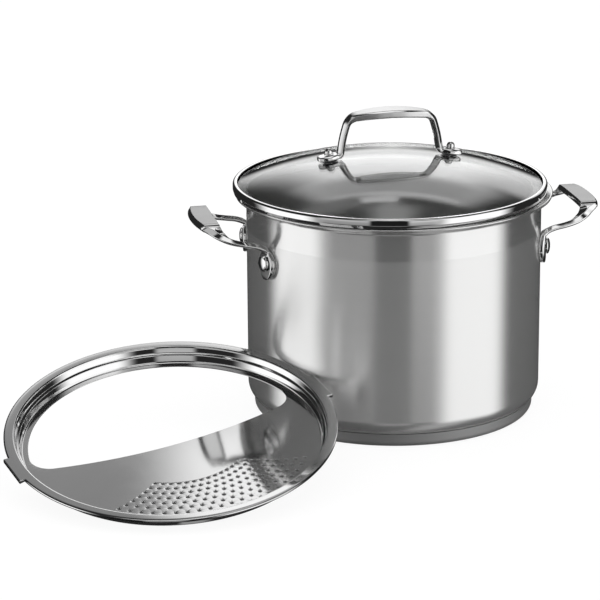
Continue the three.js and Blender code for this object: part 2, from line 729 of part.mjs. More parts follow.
// A locking tab: a straight lug that stands out of the flange and is bent down along its edge.
function lockTab() {
  const shape = new THREE.Shape();
  shape.moveTo(tabRootRadius, 0);
  shape.lineTo(tabReach - SHEET, 0);
  shape.lineTo(tabReach, -SHEET);
  shape.lineTo(tabReach, -TAB_DROP);
  shape.lineTo(tabReach - SHEET, -TAB_DROP);
  shape.lineTo(tabReach - SHEET, -SHEET);
  shape.lineTo(tabRootRadius, -SHEET);
  shape.closePath();
  return plate(shape, -TAB_LENGTH / 2, TAB_LENGTH / 2).rotateX(Math.PI / 2);
}

function strainerInsert() {
  let sheet = solidOf(turned(insertProfile()));
  const tab = lockTab();
  for (const angle of [0, Math.PI]) {
    sheet = sheet.add(solidOf(tab.clone().rotateZ(angle)));
  }
  const openingBottom = -PLATE_DEPTH - SHEET - OVERRUN;
  const openingTop = OVERRUN - PLATE_DEPTH;
  const opening = plate(openingOutline(), openingBottom, openingTop, 0, OPENING_STEPS);
  sheet = sheet.subtract(solidOf(opening));
  return geometryOf(sheet.subtract(plateHoles()));
}

// The insert's centre, worked out so that its collar rests on the table and its flange stands one
// gap clear of the pot.
function insertPlace() {
  const collarHeight = (PLATE_DEPTH + SHEET) * Math.cos(INSERT_LEAN);
  const collarDrop = (collarFootRadius - PLATE_FOLD) * Math.sin(INSERT_LEAN);
  const bearing = INSERT_BEARING - Math.PI - INSERT_HEADING;
  const acrossLean = Math.sin(bearing) * Math.cos(INSERT_LEAN);
  const reach = flangeRadius * Math.hypot(Math.cos(bearing), acrossLean);
  const distance = POT_RADIUS + GAP + reach;
  return new THREE.Vector3(
    distance * Math.cos(INSERT_BEARING),
    distance * Math.sin(INSERT_BEARING),
    collarHeight + collarDrop,
  );
}

// Finishes
const brushedSteel = { color: 0xb9bab8, roughness: 0.34, metalness: 1 };
const polishedSteel = { color: 0xd6d7d6, roughness: 0.08, metalness: 1 };
const satinSteel = { color: 0xc4c5c4, roughness: 0.2, metalness: 1 };
const mattSteel = { color: 0xa2a3a2, roughness: 0.42, metalness: 1 };
const bareAluminium = { color: 0xc9cacb, roughness: 0.5, metalness: 1 };
const darkSilicone = { color: 0x1c1d1f, roughness: 0.7, metalness: 0 };
const clearGlass = { color: 0xeef4f2, roughness: 0.03, metalness: 0, transparent: true, opacity: 0.3 };

function piece(name, geometry, finish) {
  const mesh = new THREE.Mesh(geometry, new THREE.MeshStandardMaterial(finish));
  mesh.name = name;
  return mesh;
}

const pastaPot = new THREE.Group();

const pot = new THREE.Group();
pot.add(piece("pot_body", potBody(), brushedSteel));
pot.add(piece("base_core", baseCore(), bareAluminium));
pot.add(piece("base_cap", baseCap(), mattSteel));
const handleGeometry = sideHandle();
const handleRight = piece("handle_right", handleGeometry, polishedSteel);
const handleLeft = piece("handle_left", handleGeometry, polishedSteel);
handleLeft.rotation.z = Math.PI;
pot.add(handleRight, handleLeft);
for (const [name, angle] of Object.entries(rivetAngles)) {
  const fastener = piece(name, rivet(), polishedSteel);
  fastener.applyMatrix4(rivetFrame(angle));
  pot.add(fastener);
}
pastaPot.add(pot);

const lid = new THREE.Group();
lid.position.x = LID_SHIFT;
lid.add(piece("lid_glass", lidGlass(), clearGlass));
lid.add(piece("lid_rim_band", lidRimBand(), polishedSteel));
lid.add(piece("lid_handle", lidHandle(), polishedSteel));
for (const [word, side] of [["left", -1], ["right", 1]]) {
  const fasteners = new THREE.Group();
  fasteners.applyMatrix4(footFrame(side));
  const upperWasher = GLASS_DOME_RADIUS + GAP;
  const lowerWasher = domeInnerRadius - GAP - WASHER_THICKNESS;
  fasteners.add(piece(`lid_screw_${word}`, lidScrew(), satinSteel));
  fasteners.add(piece(`lid_nut_${word}`, lidNut(), polishedSteel));
  fasteners.add(piece(`lid_upper_washer_${word}`, lidWasher(upperWasher), darkSilicone));
  fasteners.add(piece(`lid_lower_washer_${word}`, lidWasher(lowerWasher), darkSilicone));
  lid.add(fasteners);
}
pastaPot.add(lid);

const insert = piece("strainer_insert", strainerInsert(), satinSteel);
insert.position.copy(insertPlace());
insert.rotation.set(INSERT_LEAN, 0, INSERT_HEADING, "ZXY");
insert.rotateZ(INSERT_TURN);
pastaPot.add(insert);

export default pastaPot;
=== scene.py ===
# %% [markdown]
# # Pasta pot with a strainer insert
#
# The object is a tall stainless steel pot with two riveted loop handles, a glass lid with a steel
# rim band, and a perforated strainer insert that leans on the pot. The CAD solids give every size
# and place. They have few facets, so most of them get a smooth mesh of the same size here.
#
# Nearly everything is bare steel, and bare steel shows mostly what stands around it. So this
# lesson has two halves: clean smooth meshes, and a studio whose light and dark cards give the
# vertical bands that one knows from photographs of pots.

# %% Load the frame
import math
from functools import partial

import bmesh
import bpy
import numpy as np
from mathutils import Matrix, Vector
from mathutils.geometry import delaunay_2d_cdt


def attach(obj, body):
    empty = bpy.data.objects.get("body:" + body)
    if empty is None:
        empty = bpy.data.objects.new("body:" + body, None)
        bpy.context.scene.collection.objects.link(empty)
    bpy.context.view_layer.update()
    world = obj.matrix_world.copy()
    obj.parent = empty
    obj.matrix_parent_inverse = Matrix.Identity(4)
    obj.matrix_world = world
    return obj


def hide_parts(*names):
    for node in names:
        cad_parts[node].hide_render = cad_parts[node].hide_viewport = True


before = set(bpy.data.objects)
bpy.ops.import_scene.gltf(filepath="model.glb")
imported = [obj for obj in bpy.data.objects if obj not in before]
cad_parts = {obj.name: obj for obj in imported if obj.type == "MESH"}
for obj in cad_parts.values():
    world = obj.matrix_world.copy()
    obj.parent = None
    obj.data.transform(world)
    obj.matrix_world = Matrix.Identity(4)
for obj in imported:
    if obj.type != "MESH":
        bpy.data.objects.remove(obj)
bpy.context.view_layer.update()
scene = bpy.context.scene

# %% [markdown]
# ## Camera
#
# The photograph was taken with a long lens from about 2.2 m, looking 16.6 degrees down. A long
# lens flattens the picture: the rim of the pot is nearly the same ellipse at the top as at the
# foot. The camera's place was worked out from those ellipses, so it is written as numbers. The
# last turn is the small roll of the picture.

# %% Camera
CAMERA_PLACE = Vector((-0.5218, -2.1386, 0.7433))
CAMERA_HEADING = math.radians(-11.7)
CAMERA_DIP = math.radians(16.56)
CAMERA_ROLL = math.radians(-0.413)
SENSOR_WIDTH = 36
PICTURE_WIDTH = 600
FOCAL_PIXELS = 2770.6
CAMERA_REACH = 50

camera_data = bpy.data.cameras.new("camera")
camera_data.sensor_width = SENSOR_WIDTH
camera_data.lens = FOCAL_PIXELS / PICTURE_WIDTH * SENSOR_WIDTH
camera_data.clip_end = CAMERA_REACH
camera = bpy.data.objects.new("camera", camera_data)
scene.collection.objects.link(camera)
camera_turn = (
    Matrix.Rotation(CAMERA_HEADING, 4, "Z")
    @ Matrix.Rotation(math.pi / 2 - CAMERA_DIP, 4, "X")
    @ Matrix.Rotation(CAMERA_ROLL, 4, "Z")
)
camera.matrix_world = Matrix.Translation(CAMERA_PLACE) @ camera_turn
scene.camera = camera
print("lens", round(camera_data.lens, 1), "mm")

# %% [markdown]
# ## Turned profiles
#
# A pot is spun or drawn, so most of its pieces are one profile turned round an axis. The profile
# is written as corners with a rounding each, as a drawing of sheet metal would give them. Doing
# this in mesh code, rather than with a Screw modifier, lets the faces carry different finishes.

# %% Turned profiles
MM = 0.001
TURN_SIDES = 288
SMALL_TURN_SIDES = 48
TINY = 1e-6


def rounded(corners, steps=6):
    """A profile from corners (x, y, rounding)."""
    outline = []
    for i, (x, y, size) in enumerate(corners):
        here = Vector((x, y))
        if not size:
            outline.append((x, y))
            continue
        before = (Vector(corners[i - 1][:2]) - here).normalized()
        after = (Vector(corners[(i + 1) % len(corners)][:2]) - here).normalized()
        half = before.angle(after) / 2
        centre = here + (before + after).normalized() * (size / math.sin(half))
        start = here + before * (size / math.tan(half)) - centre
        end = here + after * (size / math.tan(half)) - centre
        turn = start.angle_signed(end)
        for step in range(steps + 1):
            spoke = start.copy()
            spoke.rotate(Matrix.Rotation(-turn * step / steps, 2))
            outline.append(tuple(centre + spoke))
    return outline


def joined(loops):
    """The faces between closed loops of equal length. A loop may be one place, repeated."""
    faces = []
    for low, high in zip(loops, loops[1:]):
        for i in range(len(low)):
            j = (i + 1) % len(low)
            face = list(dict.fromkeys([low[i], low[j], high[j], high[i]]))
            if len(face) > 2:
                faces.append(face)
    return faces


def turned(profile, sides=TURN_SIDES, closed=False):
    """The places and faces of a profile of (radius, height) turned round Z."""
    places, rings = [], []
    for radius, height in profile:
        first = len(places)
        if radius < TINY:
            rings.append([first] * sides)
            places.append((0, 0, height))
            continue
        rings.append(list(range(first, first + sides)))
        for side in range(sides):
            angle = 2 * math.pi * side / sides
            places.append((radius * math.cos(angle), radius * math.sin(angle), height))
    if closed:
        rings.append(rings[0])
    return places, joined(rings)


print("a large turned piece has", TURN_SIDES, "sides, and a small one", SMALL_TURN_SIDES)

# %% [markdown]
# ## From a shape to a finished piece
#
# Every piece goes the same way. Its places and faces become a mesh, each face gets its finish, the
# piece is hung on the empty of the body it rides on, and the CAD nodes that it stands for are hidden.
# The count of open edges shows at once whether its skin is closed.
#
# On mirror-like steel a slightly wrong normal shows at once. Edges sharper than a limit are marked
# sharp, and a Weighted Normal modifier keeps big flat faces flat beside their small roundings.

# %% Finished pieces
SMOOTH_LIMIT = math.radians(32)


def add_piece(name, shape, finishes, body, nodes, place=None, finish_of=None):
    """A smooth piece from places in millimetres, which stands for CAD nodes."""
    places, faces = shape
    mesh = bpy.data.meshes.new(name)
    mesh.from_pydata([Vector(p) * MM for p in places], [], faces)
    work = bmesh.new()
    work.from_mesh(mesh)
    bmesh.ops.remove_doubles(work, verts=work.verts, dist=TINY)
    bmesh.ops.recalc_face_normals(work, faces=work.faces)
    for face in work.faces:
        face.smooth = True
        if finish_of:
            face.material_index = finish_of(face.calc_center_median() / MM, face.normal)
    open_edges = sum(not edge.is_manifold for edge in work.edges)
    work.to_mesh(mesh)
    work.free()
    if place:
        mesh.transform(place)
    for finish in finishes:
        mesh.materials.append(finish)
    mesh.set_sharp_from_angle(angle=SMOOTH_LIMIT)
    piece = bpy.data.objects.new(name, mesh)
    scene.collection.objects.link(piece)
    flat = piece.modifiers.new("keep flats flat", "WEIGHTED_NORMAL")
    flat.keep_sharp = True
    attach(piece, body)
    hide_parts(*nodes)
    print(f"{name}: {len(mesh.polygons)} faces, {open_edges} open edges")
    return piece


def millimetre_matrix(matrix):
    """The same placing with its shift in metres."""
    scaled = matrix.copy()
    scaled.translation = matrix.translation * MM
    return scaled


print("edges of more than", round(math.degrees(SMOOTH_LIMIT)), "degrees stay sharp")

# %% [markdown]
# ## Writing nodes
#
# A shader is a tree of nodes, and each node takes a few lines to add and to connect. This small
# class does both at once. What goes into a socket is either the output of another node, which is
# linked, or a plain value, which is set.

# %% Node builder
FLOAT, VECTOR, COLOR = "NodeSocketFloat", "NodeSocketVector", "NodeSocketColor"


def new_group(name, inputs, outputs):
    """An empty shader group from (socket, kind, value) inputs and (socket, kind) outputs."""
    group = bpy.data.node_groups.new(name, "ShaderNodeTree")
    for socket, kind, value in inputs:
        made = group.interface.new_socket(name=socket, in_out="INPUT", socket_type=kind)
        if value is not None:
            made.default_value = value
    for socket, kind in outputs:
        group.interface.new_socket(name=socket, in_out="OUTPUT", socket_type=kind)
    return group


class Builder:
    """Adds nodes and links to one node tree."""

    def __init__(self, tree):
        self.tree = tree

    def feed(self, socket, source):
        if isinstance(source, bpy.types.NodeSocket):
            self.tree.links.new(source, socket)
        else:
            socket.default_value = source

    def add(self, kind, sources=(), **settings):
        """A node, its settings, and what goes into its sockets by name or number."""
        node = self.tree.nodes.new(kind)
        for key, value in settings.items():
            setattr(node, key, value)
        for socket, source in dict(sources).items():
            self.feed(node.inputs[socket], source)
        return node

    def math(self, operation, *values):
        return self.add("ShaderNodeMath", dict(enumerate(values)), operation=operation).outputs[0]

    def remap(self, value, low, high, to_low=0.0, to_high=1.0):
        """A smooth step: to_low where the value is low, and to_high where it is high."""
        sources = dict(enumerate((value, low, high, to_low, to_high)))
        return self.add("ShaderNodeMapRange", sources, interpolation_type="SMOOTHSTEP").outputs[0]

    def mix(self, share, first, second):
        """A mix of two colours, which are sockets 6 and 7 of the Mix node."""
        node = self.add("ShaderNodeMix", {0: share, 6: first, 7: second}, data_type="RGBA")
        return node.outputs[2]


print("node builder ready")

# %% [markdown]
# ## Shared shader groups
#
# Brushed steel is steel with fine parallel scratches. Seen close they are short streaks of lighter
# and darker metal, and seen from further away they only blur reflections across their direction.
# Polished steel is never quite even either: wiping leaves soft patches that are a little less
# glossy. Several finishes use each of these effects, so each is a shader group, made once.
#
# Both groups shift the roughness and the shade of the metal by a pattern and put out a height for
# a bump, so one function makes them. Only the pattern differs. The scratches are a noise in
# coordinates that each finish has already stretched along its own scratches.

# %% Shader groups
FINE_SHARE = 0.6
WIDE_SCALE = 0.13
GRAIN_HEIGHT = 0.04


def scratches_pattern(b, place):
    """Fine and wide streaks. The height has only the fine ones."""
    fine = b.add("ShaderNodeTexNoise", {"Vector": place, "Scale": 1.0, "Detail": 3.0}).outputs[0]
    wide_place = b.add("ShaderNodeVectorMath", {0: place, "Scale": WIDE_SCALE}, operation="SCALE")
    wide = b.add(
        "ShaderNodeTexNoise", {"Vector": wide_place.outputs[0], "Scale": 1.0, "Detail": 2.0}
    ).outputs[0]
    fine_part = b.math("MULTIPLY", fine, FINE_SHARE)
    wide_part = b.math("MULTIPLY", wide, 1 - FINE_SHARE)
    return b.math("ADD", fine_part, wide_part), fine


def wiped_pattern(b, place):
    """Soft patches. The height also has a trace of fine grain."""
    patches = b.add(
        "ShaderNodeTexNoise", {"Vector": place, "Scale": 28.0, "Detail": 3.0, "Distortion": 0.8}
    ).outputs[0]
    grain = b.add("ShaderNodeTexNoise", {"Vector": place, "Scale": 420.0, "Detail": 2.0}).outputs[0]
    return patches, b.math("ADD", patches, b.math("MULTIPLY", grain, GRAIN_HEIGHT))


def finish_group(name, pattern, roughness_spread, shade_spread):
    """A group that shifts roughness and shade by a pattern."""
    group = new_group(
        name,
        [
            ("Place", VECTOR, None),
            ("Roughness", FLOAT, 0.2),
            ("Roughness Spread", FLOAT, roughness_spread),
            ("Metal", COLOR, (0.8, 0.8, 0.8, 1)),
            ("Shade Spread", FLOAT, shade_spread),
        ],
        [("Base Color", COLOR), ("Roughness", FLOAT), ("Height", FLOAT)],
    )
    b = Builder(group)
    given = b.add("NodeGroupInput").outputs
    shift, height = pattern(b, given["Place"])
    centred = b.math("SUBTRACT", shift, 0.5)
    rough = b.math("MULTIPLY_ADD", centred, given["Roughness Spread"], given["Roughness"])
    shade = b.math("MULTIPLY_ADD", centred, given["Shade Spread"], 1.0)
    shaded = b.add("ShaderNodeVectorMath", {0: given["Metal"], "Scale": shade}, operation="SCALE")
    b.add(
        "NodeGroupOutput",
        {"Base Color": shaded.outputs[0], "Roughness": rough, "Height": height},
    )
    return group


scratches = finish_group("scratches", scratches_pattern, 0.06, 0.1)
wiped = finish_group("wiped", wiped_pattern, 0.03, 0.03)
print("groups:", scratches.name, wiped.name)

# %% [markdown]
# ## Steel finishes
#
# All the metal that shows is the same steel, finished in different ways. The body is brushed round
# its axis, so reflections smear up and down it and stay crisp from side to side: that is
# anisotropy, with the tangent running round the axis. The band under the rim is brushed finer, and
# the inside is duller. The handles, the fasteners, the lid's band and the insert are polished, the
# tops of the grips are brushed along the grip, and the base cap is matt. The side grips' tops and
# the base cap also get a darker steel colour, which is painted shade.
#
# Hardly any light gets into the hollow of the lid's band and under the hem of the insert's flange.
# They show as thin black lines, so their steel gets a dark colour of its own: painted shade.

# %% Steel finishes
AROUND = (9.0, 9.0, 2600.0)
ALONG_GRIP = (60.0, 1500.0, 400.0)
EVEN = (1.0, 1.0, 1.0)
QUARTER_TURN = 0.25


def start_material(name, colour, **sockets):
    """A material whose uniform values are set on the Principled sockets themselves."""
    material = bpy.data.materials.new(name)
    material.use_nodes = True
    material.diffuse_color = colour
    principled = material.node_tree.nodes["Principled BSDF"]
    principled.inputs["Base Color"].default_value = colour
    for socket, value in sockets.items():
        principled.inputs[socket.replace("_", " ")].default_value = value
    return material, Builder(material.node_tree), principled


def lay_on(b, principled, group, place, metal, roughness, spreads):
    """One of the shared groups, linked to a material's colour and roughness."""
    sources = {"Place": place, "Metal": (*metal, 1), "Roughness": roughness}
    for socket, value in spreads.items():
        sources[socket.replace("_", " ")] = value
    effect = b.add("ShaderNodeGroup", sources, node_tree=group)
    for socket in ("Base Color", "Roughness"):
        b.feed(principled.inputs[socket], effect.outputs[socket])
    return effect


def steel(
    name, group, metal, roughness, stretch, bump=0.0, anisotropy=0.0, axis=None, metallic=1.0, **spreads
):
    """Bare steel. The stretch of the pattern is in cycles a metre, and the bump in millimetres."""
    material, b, principled = start_material(
        name, (*metal, 1), Metallic=metallic, Anisotropic=anisotropy
    )
    place = b.add("ShaderNodeTexCoord").outputs["Object"]
    stretched = b.add("ShaderNodeVectorMath", {0: place, 1: stretch}, operation="MULTIPLY")
    effect = lay_on(b, principled, group, stretched.outputs[0], metal, roughness, spreads)
    if bump:
        relief = b.add(
            "ShaderNodeBump",
            {"Strength": 1.0, "Distance": bump * MM, "Height": effect.outputs["Height"]},
        )
        b.feed(principled.inputs["Normal"], relief.outputs[0])
    if axis:
        principled.inputs["Anisotropic Rotation"].default_value = QUARTER_TURN
        tangent = b.add("ShaderNodeTangent", direction_type="RADIAL", axis=axis)
        b.feed(principled.inputs["Tangent"], tangent.outputs[0])
    return material


body_brushed = steel(
    "body_brushed", scratches, (0.82, 0.82, 0.815), 0.24, AROUND,
    bump=0.002, anisotropy=0.75, axis="Z", metallic=0.83, Roughness_Spread=0.10, Shade_Spread=0.10,
)
body_polished = steel(
    "body_polished", scratches, (0.83, 0.83, 0.825), 0.20, AROUND,
    bump=0.001, anisotropy=0.7, axis="Z", metallic=0.88, Roughness_Spread=0.07, Shade_Spread=0.07,
)
body_inside = steel(
    "body_inside", scratches, (0.86, 0.86, 0.855), 0.42, AROUND,
    bump=0.002, anisotropy=0.85, axis="Z", metallic=0.85, Roughness_Spread=0.10, Shade_Spread=0.10,
)
# The base cap's matt roughness is real. Its dark colour is painted shade for the floor's shadow that it
# mirrors.
base_matt_painted_shade = steel(
    "base_matt_painted_shade", scratches, (0.46, 0.46, 0.46), 0.68, AROUND,
    bump=0.002, anisotropy=0.2, axis="Z", metallic=0.95, Roughness_Spread=0.12, Shade_Spread=0.14,
)
# Painted shade: a dark steel colour for the lid band's hollow and the underside of the insert's hem,
# where little light gets in.
recess_painted_shade = steel(
    "recess_painted_shade", scratches, (0.12, 0.12, 0.12), 0.25, AROUND,
    bump=0.001, anisotropy=0.5, axis="Z", Roughness_Spread=0.08, Shade_Spread=0.08,
)
# The side grips' brushed tops get a dark steel colour, which is painted shade.
grip_brushed_painted_shade = steel(
    "grip_brushed_painted_shade", scratches, (0.39, 0.39, 0.39), 0.34, ALONG_GRIP,
    bump=0.003, Roughness_Spread=0.14, Shade_Spread=0.22,
)
lid_leaf_brushed = steel(
    "lid_leaf_brushed", scratches, (0.82, 0.82, 0.82), 0.34, ALONG_GRIP,
    bump=0.003, Roughness_Spread=0.14, Shade_Spread=0.20,
)
core_bare = steel(
    "core_bare", scratches, (0.78, 0.79, 0.80), 0.45, AROUND, Roughness_Spread=0.1,
)
cast_polished = steel("cast_polished", wiped, (0.86, 0.86, 0.86), 0.05, EVEN, bump=0.02)
grip_side = steel("grip_side", wiped, (0.88, 0.88, 0.88), 0.38, EVEN, bump=0.02)
fastener_polished = steel("fastener_polished", wiped, (0.84, 0.84, 0.84), 0.07, EVEN, bump=0.01)
band_polished = steel("band_polished", wiped, (0.88, 0.88, 0.88), 0.035, EVEN, bump=0.004)
insert_polished = steel("insert_polished", wiped, (0.87, 0.87, 0.87), 0.055, EVEN, bump=0.006)
insert_satin = steel("insert_satin", wiped, (0.88, 0.88, 0.88), 0.08, EVEN, bump=0.006)
print("materials in the file now:", len(bpy.data.materials))

# %% [markdown]
# ## Glass and rubber
#
# The lid is tempered soda glass, 4 mm thick. It is one closed solid, so a plain transmissive
# shader bends the light twice as the real dome does. The faint smears come from the wiped group,
# and a coat makes its reflections a little stronger. The washers that keep the screws off the
# glass are matt black rubber.

# %% Glass and rubber
GLASS_TINT = (0.985, 0.995, 0.99)
RUBBER_LIGHT = (0.05, 0.05, 0.052, 1)
RUBBER_DARK = (0.028, 0.028, 0.03, 1)

glass_clear, b, principled = start_material(
    "glass_clear", (*GLASS_TINT, 1), Metallic=0.0, Transmission_Weight=1.0, IOR=1.5,
    Coat_Weight=1.0, Coat_Roughness=0.0, Coat_IOR=1.7,
)
lay_on(
    b, principled, wiped, b.add("ShaderNodeTexCoord").outputs["Object"], GLASS_TINT, 0.008,
    {"Roughness_Spread": 0.012, "Shade_Spread": 0.004},
)

washer_rubber, b, principled = start_material(
    "washer_rubber", (0.035, 0.035, 0.037, 1), Metallic=0.0, Roughness=0.62,
)
place = b.add("ShaderNodeTexCoord").outputs["Object"]
grain = b.add("ShaderNodeTexNoise", {"Vector": place, "Scale": 900.0, "Detail": 3.0}).outputs[0]
relief = b.add("ShaderNodeBump", {"Distance": 0.03 * MM, "Height": grain})
b.feed(principled.inputs["Base Color"], b.mix(grain, RUBBER_DARK, RUBBER_LIGHT))
b.feed(principled.inputs["Normal"], relief.outputs[0])
print("glass and rubber ready")

# %% [markdown]
# ## Pot body
#
# The body is one sheet of steel, 0.8 mm thick, drawn into a cup. The draw leaves a rounded bottom
# corner, and the rim is flared outwards and turned down at its edge, so that it pours cleanly and
# doesn't cut. A faint line 28 mm below the rim separates the polished band from the brushing.
#
# The profile runs from the middle of the floor up the outside, round the lip and down the inside.

# %% Pot body
POT_RADIUS = 120.8
POT_WALL = 0.8
POT_TOP = 183.2
POT_CORNER = 14
BASE_HEIGHT = 8.5
POLISH_LINE = 155
FLARE_CORNER = 179.49
LIP_RADIUS = 130
LIP_FLARE = 5
LIP_SLOPE = math.tan(math.radians(20))
LIP_INNER_SLOPE = 0.354
LIP_EDGE_RISE = 0.43
HEM_HEIGHT = 2.6
HEM_BEND = 1.8
HEM_LEAN = 0.6


def pot_body_profile():
    wall_in = POT_RADIUS - POT_WALL
    lip_in = LIP_RADIUS - POT_WALL
    hem_bottom = POT_TOP - HEM_HEIGHT
    edge_height = POT_TOP + LIP_EDGE_RISE
    lip_start = edge_height - (LIP_RADIUS - wall_in) * LIP_INNER_SLOPE
    return rounded(
        [
            (0, BASE_HEIGHT, 0),
            (POT_RADIUS, BASE_HEIGHT, POT_CORNER),
            (POT_RADIUS, POLISH_LINE, 0),
            (POT_RADIUS, FLARE_CORNER, LIP_FLARE),
            (lip_in, FLARE_CORNER + (lip_in - POT_RADIUS) * LIP_SLOPE, 0.6),
            (lip_in - HEM_LEAN, hem_bottom, 0.2),
            (LIP_RADIUS - HEM_LEAN, hem_bottom, 0.35),
            (LIP_RADIUS, hem_bottom + HEM_BEND, 0.9),
            (LIP_RADIUS, edge_height, 1.1),
            (wall_in, lip_start, LIP_FLARE + POT_WALL),
            (wall_in, BASE_HEIGHT + POT_WALL, POT_CORNER - POT_WALL),
            (0, BASE_HEIGHT + POT_WALL, 0),
        ],
        steps=10,
    )


def pot_finish(centre, normal):
    """0 is the brushed wall, 1 the polished band and lip, and 2 the inside."""
    radius = math.hypot(centre.x, centre.y)
    outwards = centre.x * normal.x + centre.y * normal.y > 0
    if centre.z > FLARE_CORNER - LIP_FLARE:
        return 1
    if radius < POT_RADIUS - POT_WALL / 2 and not (outwards or normal.z < 0):
        return 2
    return 1 if centre.z > POLISH_LINE else 0


add_piece(
    "pot_body_smooth", turned(pot_body_profile()), [body_brushed, body_polished, body_inside],
    "pot", ["pot_body"], finish_of=pot_finish,
)

# %% [markdown]
# ## Base cap
#
# An aluminium disc under the floor spreads the heat, and a stamped steel cap holds it. The cap's
# edge stands a few millimetres up the rounded corner of the body, where it makes the thin dark
# seam that runs round the pot just above the table. The cap is matt, and its dark steel colour is
# painted shade for the floor's shadow that it mirrors. The hidden disc keeps its CAD solid.

# %% Base cap
CAP_RADIUS = 115.5
CAP_WALL = 0.8
CAP_CORNER = 5
CAP_SEAM = 11.2
CAP_EDGE_LEAN = 0.6

cap_profile = rounded(
    [
        (0, 0, 0),
        (CAP_RADIUS, 0, CAP_CORNER),
        (CAP_RADIUS, CAP_SEAM, 0.35),
        (CAP_RADIUS - CAP_WALL, CAP_SEAM - CAP_EDGE_LEAN, 0.1),
        (CAP_RADIUS - CAP_WALL, CAP_WALL, CAP_CORNER - CAP_WALL),
        (0, CAP_WALL, 0),
    ]
)
add_piece(
    "base_cap_smooth", turned(cap_profile), [base_matt_painted_shade], "pot", ["base_cap"],
)
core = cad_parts["base_core"]
core.data.materials.clear()
core.data.materials.append(core_bare)

# %% [markdown]
# ## Cast loops
#
# The handles are cast and then polished by hand: slim arms that swell into a wide grip, with flat
# facets that meet in crisp creases, and at each end a teardrop flange or foot for the fastener.
# A bar like that is best made as a loft: a section with eight corners that travels along the
# path, while its width, its thickness and the places of its corners change on the way. The
# corners get a small rounding of their own, because a real crease always catches a fine highlight.

# %% Lofts
CREASE = 0.45
CREASE_SHARE = 0.4
PATH_STEPS = 9


def through_points(rows, steps=PATH_STEPS):
    """Rows of numbers joined by a smooth curve, every column alike."""
    rows = np.array(rows, float)
    padded = np.vstack([2 * rows[0] - rows[1], rows, 2 * rows[-1] - rows[-2]])
    result = []
    for i in range(1, len(padded) - 2):
        a, b_, c, d = padded[i - 1], padded[i], padded[i + 1], padded[i + 2]
        for step in range(steps):
            t = step / steps
            result.append(
                0.5 * (2 * b_ + (c - a) * t + (2 * a - 5 * b_ + 4 * c - d) * t * t
                       + (3 * b_ - a - 3 * c + d) * t ** 3)
            )
    result.append(rows[-1])
    return np.array(result)


def section_points(corners, width, thickness, crease=CREASE):
    """The corners of a section in millimetres, each softened by three points."""
    sized = [Vector((x * width, y * thickness)) for x, y in corners]
    points = []
    for i, here in enumerate(sized):
        before, after = sized[i - 1], sized[(i + 1) % len(sized)]
        back = min(crease, CREASE_SHARE * (before - here).length)
        ahead = min(crease, CREASE_SHARE * (after - here).length)
        start = here + (before - here).normalized() * back
        end = here + (after - here).normalized() * ahead
        points += [start, start * 0.25 + here * 0.5 + end * 0.25, end]
    return points


def loft(rings):
    """A closed skin over rings of equal length, with a flat cap at each end."""
    places, loops = [], []
    for ring in rings:
        loops.append(list(range(len(places), len(places) + len(ring))))
        places += [tuple(point) for point in ring]
    return places, joined(loops) + [loops[0][::-1], loops[-1]]


def clamped(value):
    return min(1.0, max(0.0, value))


def mixed(first, second, share):
    """The corners of a section part of the way from one section to another."""
    share = clamped(share)
    return [
        (a * (1 - share) + c * share, b_ * (1 - share) + d * share)
        for (a, b_), (c, d) in zip(first, second)
    ]


def eased(value, low, high):
    share = clamped((value - low) / (high - low))
    return share * share * (3 - 2 * share)


def mirrored_stations(rows, axis, start_side):
    """(station, direction) along a loop. The rows are half of it, and the axis is mirrored."""
    half = through_points(rows)
    other = half[:-1][::-1].copy()
    half[:, axis] *= start_side
    other[:, axis] *= -start_side
    stations = np.vstack([half, other])
    along = np.gradient(stations[:, :3], axis=0)
    along /= np.linalg.norm(along, axis=1)[:, None]
    return zip(stations, along)


print("creases are", CREASE, "mm wide on each side")

# %% [markdown]
# ## Side handles
#
# The path starts at the tip of the teardrop flange on the wall, climbs past the rivet, bends out
# into the arm and rises to the grip. Only half of it is written, and the other half is its mirror
# image. The grip's flat top is brushed, with a dark steel colour that is painted shade. It ends in
# a straight edge, with a short polished slope down to the arm, whose top is a ridge of two facets.

# %% Side handles
RIVET_ANGLE = math.radians(21)
RIVET_HEIGHT = 140
FLANGE_THICKNESS = 4.2
WALL_GAP = 0.3
FLANGE_MIDDLE = POT_RADIUS + WALL_GAP + FLANGE_THICKNESS / 2
FACET_END = 30
SLOPE_END = 34
TURN_START = 34
TURN_END = 42
WALL_BLEND = 1.6

GRIP_SECTION = [
    (0.5, 0.1), (0.38, 0.5), (-0.45, 0.5), (-0.5, 0.28),
    (-0.5, -0.22), (-0.36, -0.5), (0.34, -0.5), (0.5, -0.2),
]
ARM_SECTION = [
    (0.5, -0.02), (0.10, 0.5), (0.02, 0.5), (-0.5, 0.06),
    (-0.5, -0.2), (-0.34, -0.5), (0.34, -0.5), (0.5, -0.26),
]
FLANGE_SECTION = [
    (0.5, 0.3), (0.49, 0.5), (-0.49, 0.5), (-0.5, 0.3),
    (-0.5, -0.2), (-0.41, -0.5), (0.41, -0.5), (0.5, -0.2),
]
flange_x = FLANGE_MIDDLE * math.cos(RIVET_ANGLE)
flange_y = FLANGE_MIDDLE * math.sin(RIVET_ANGLE)
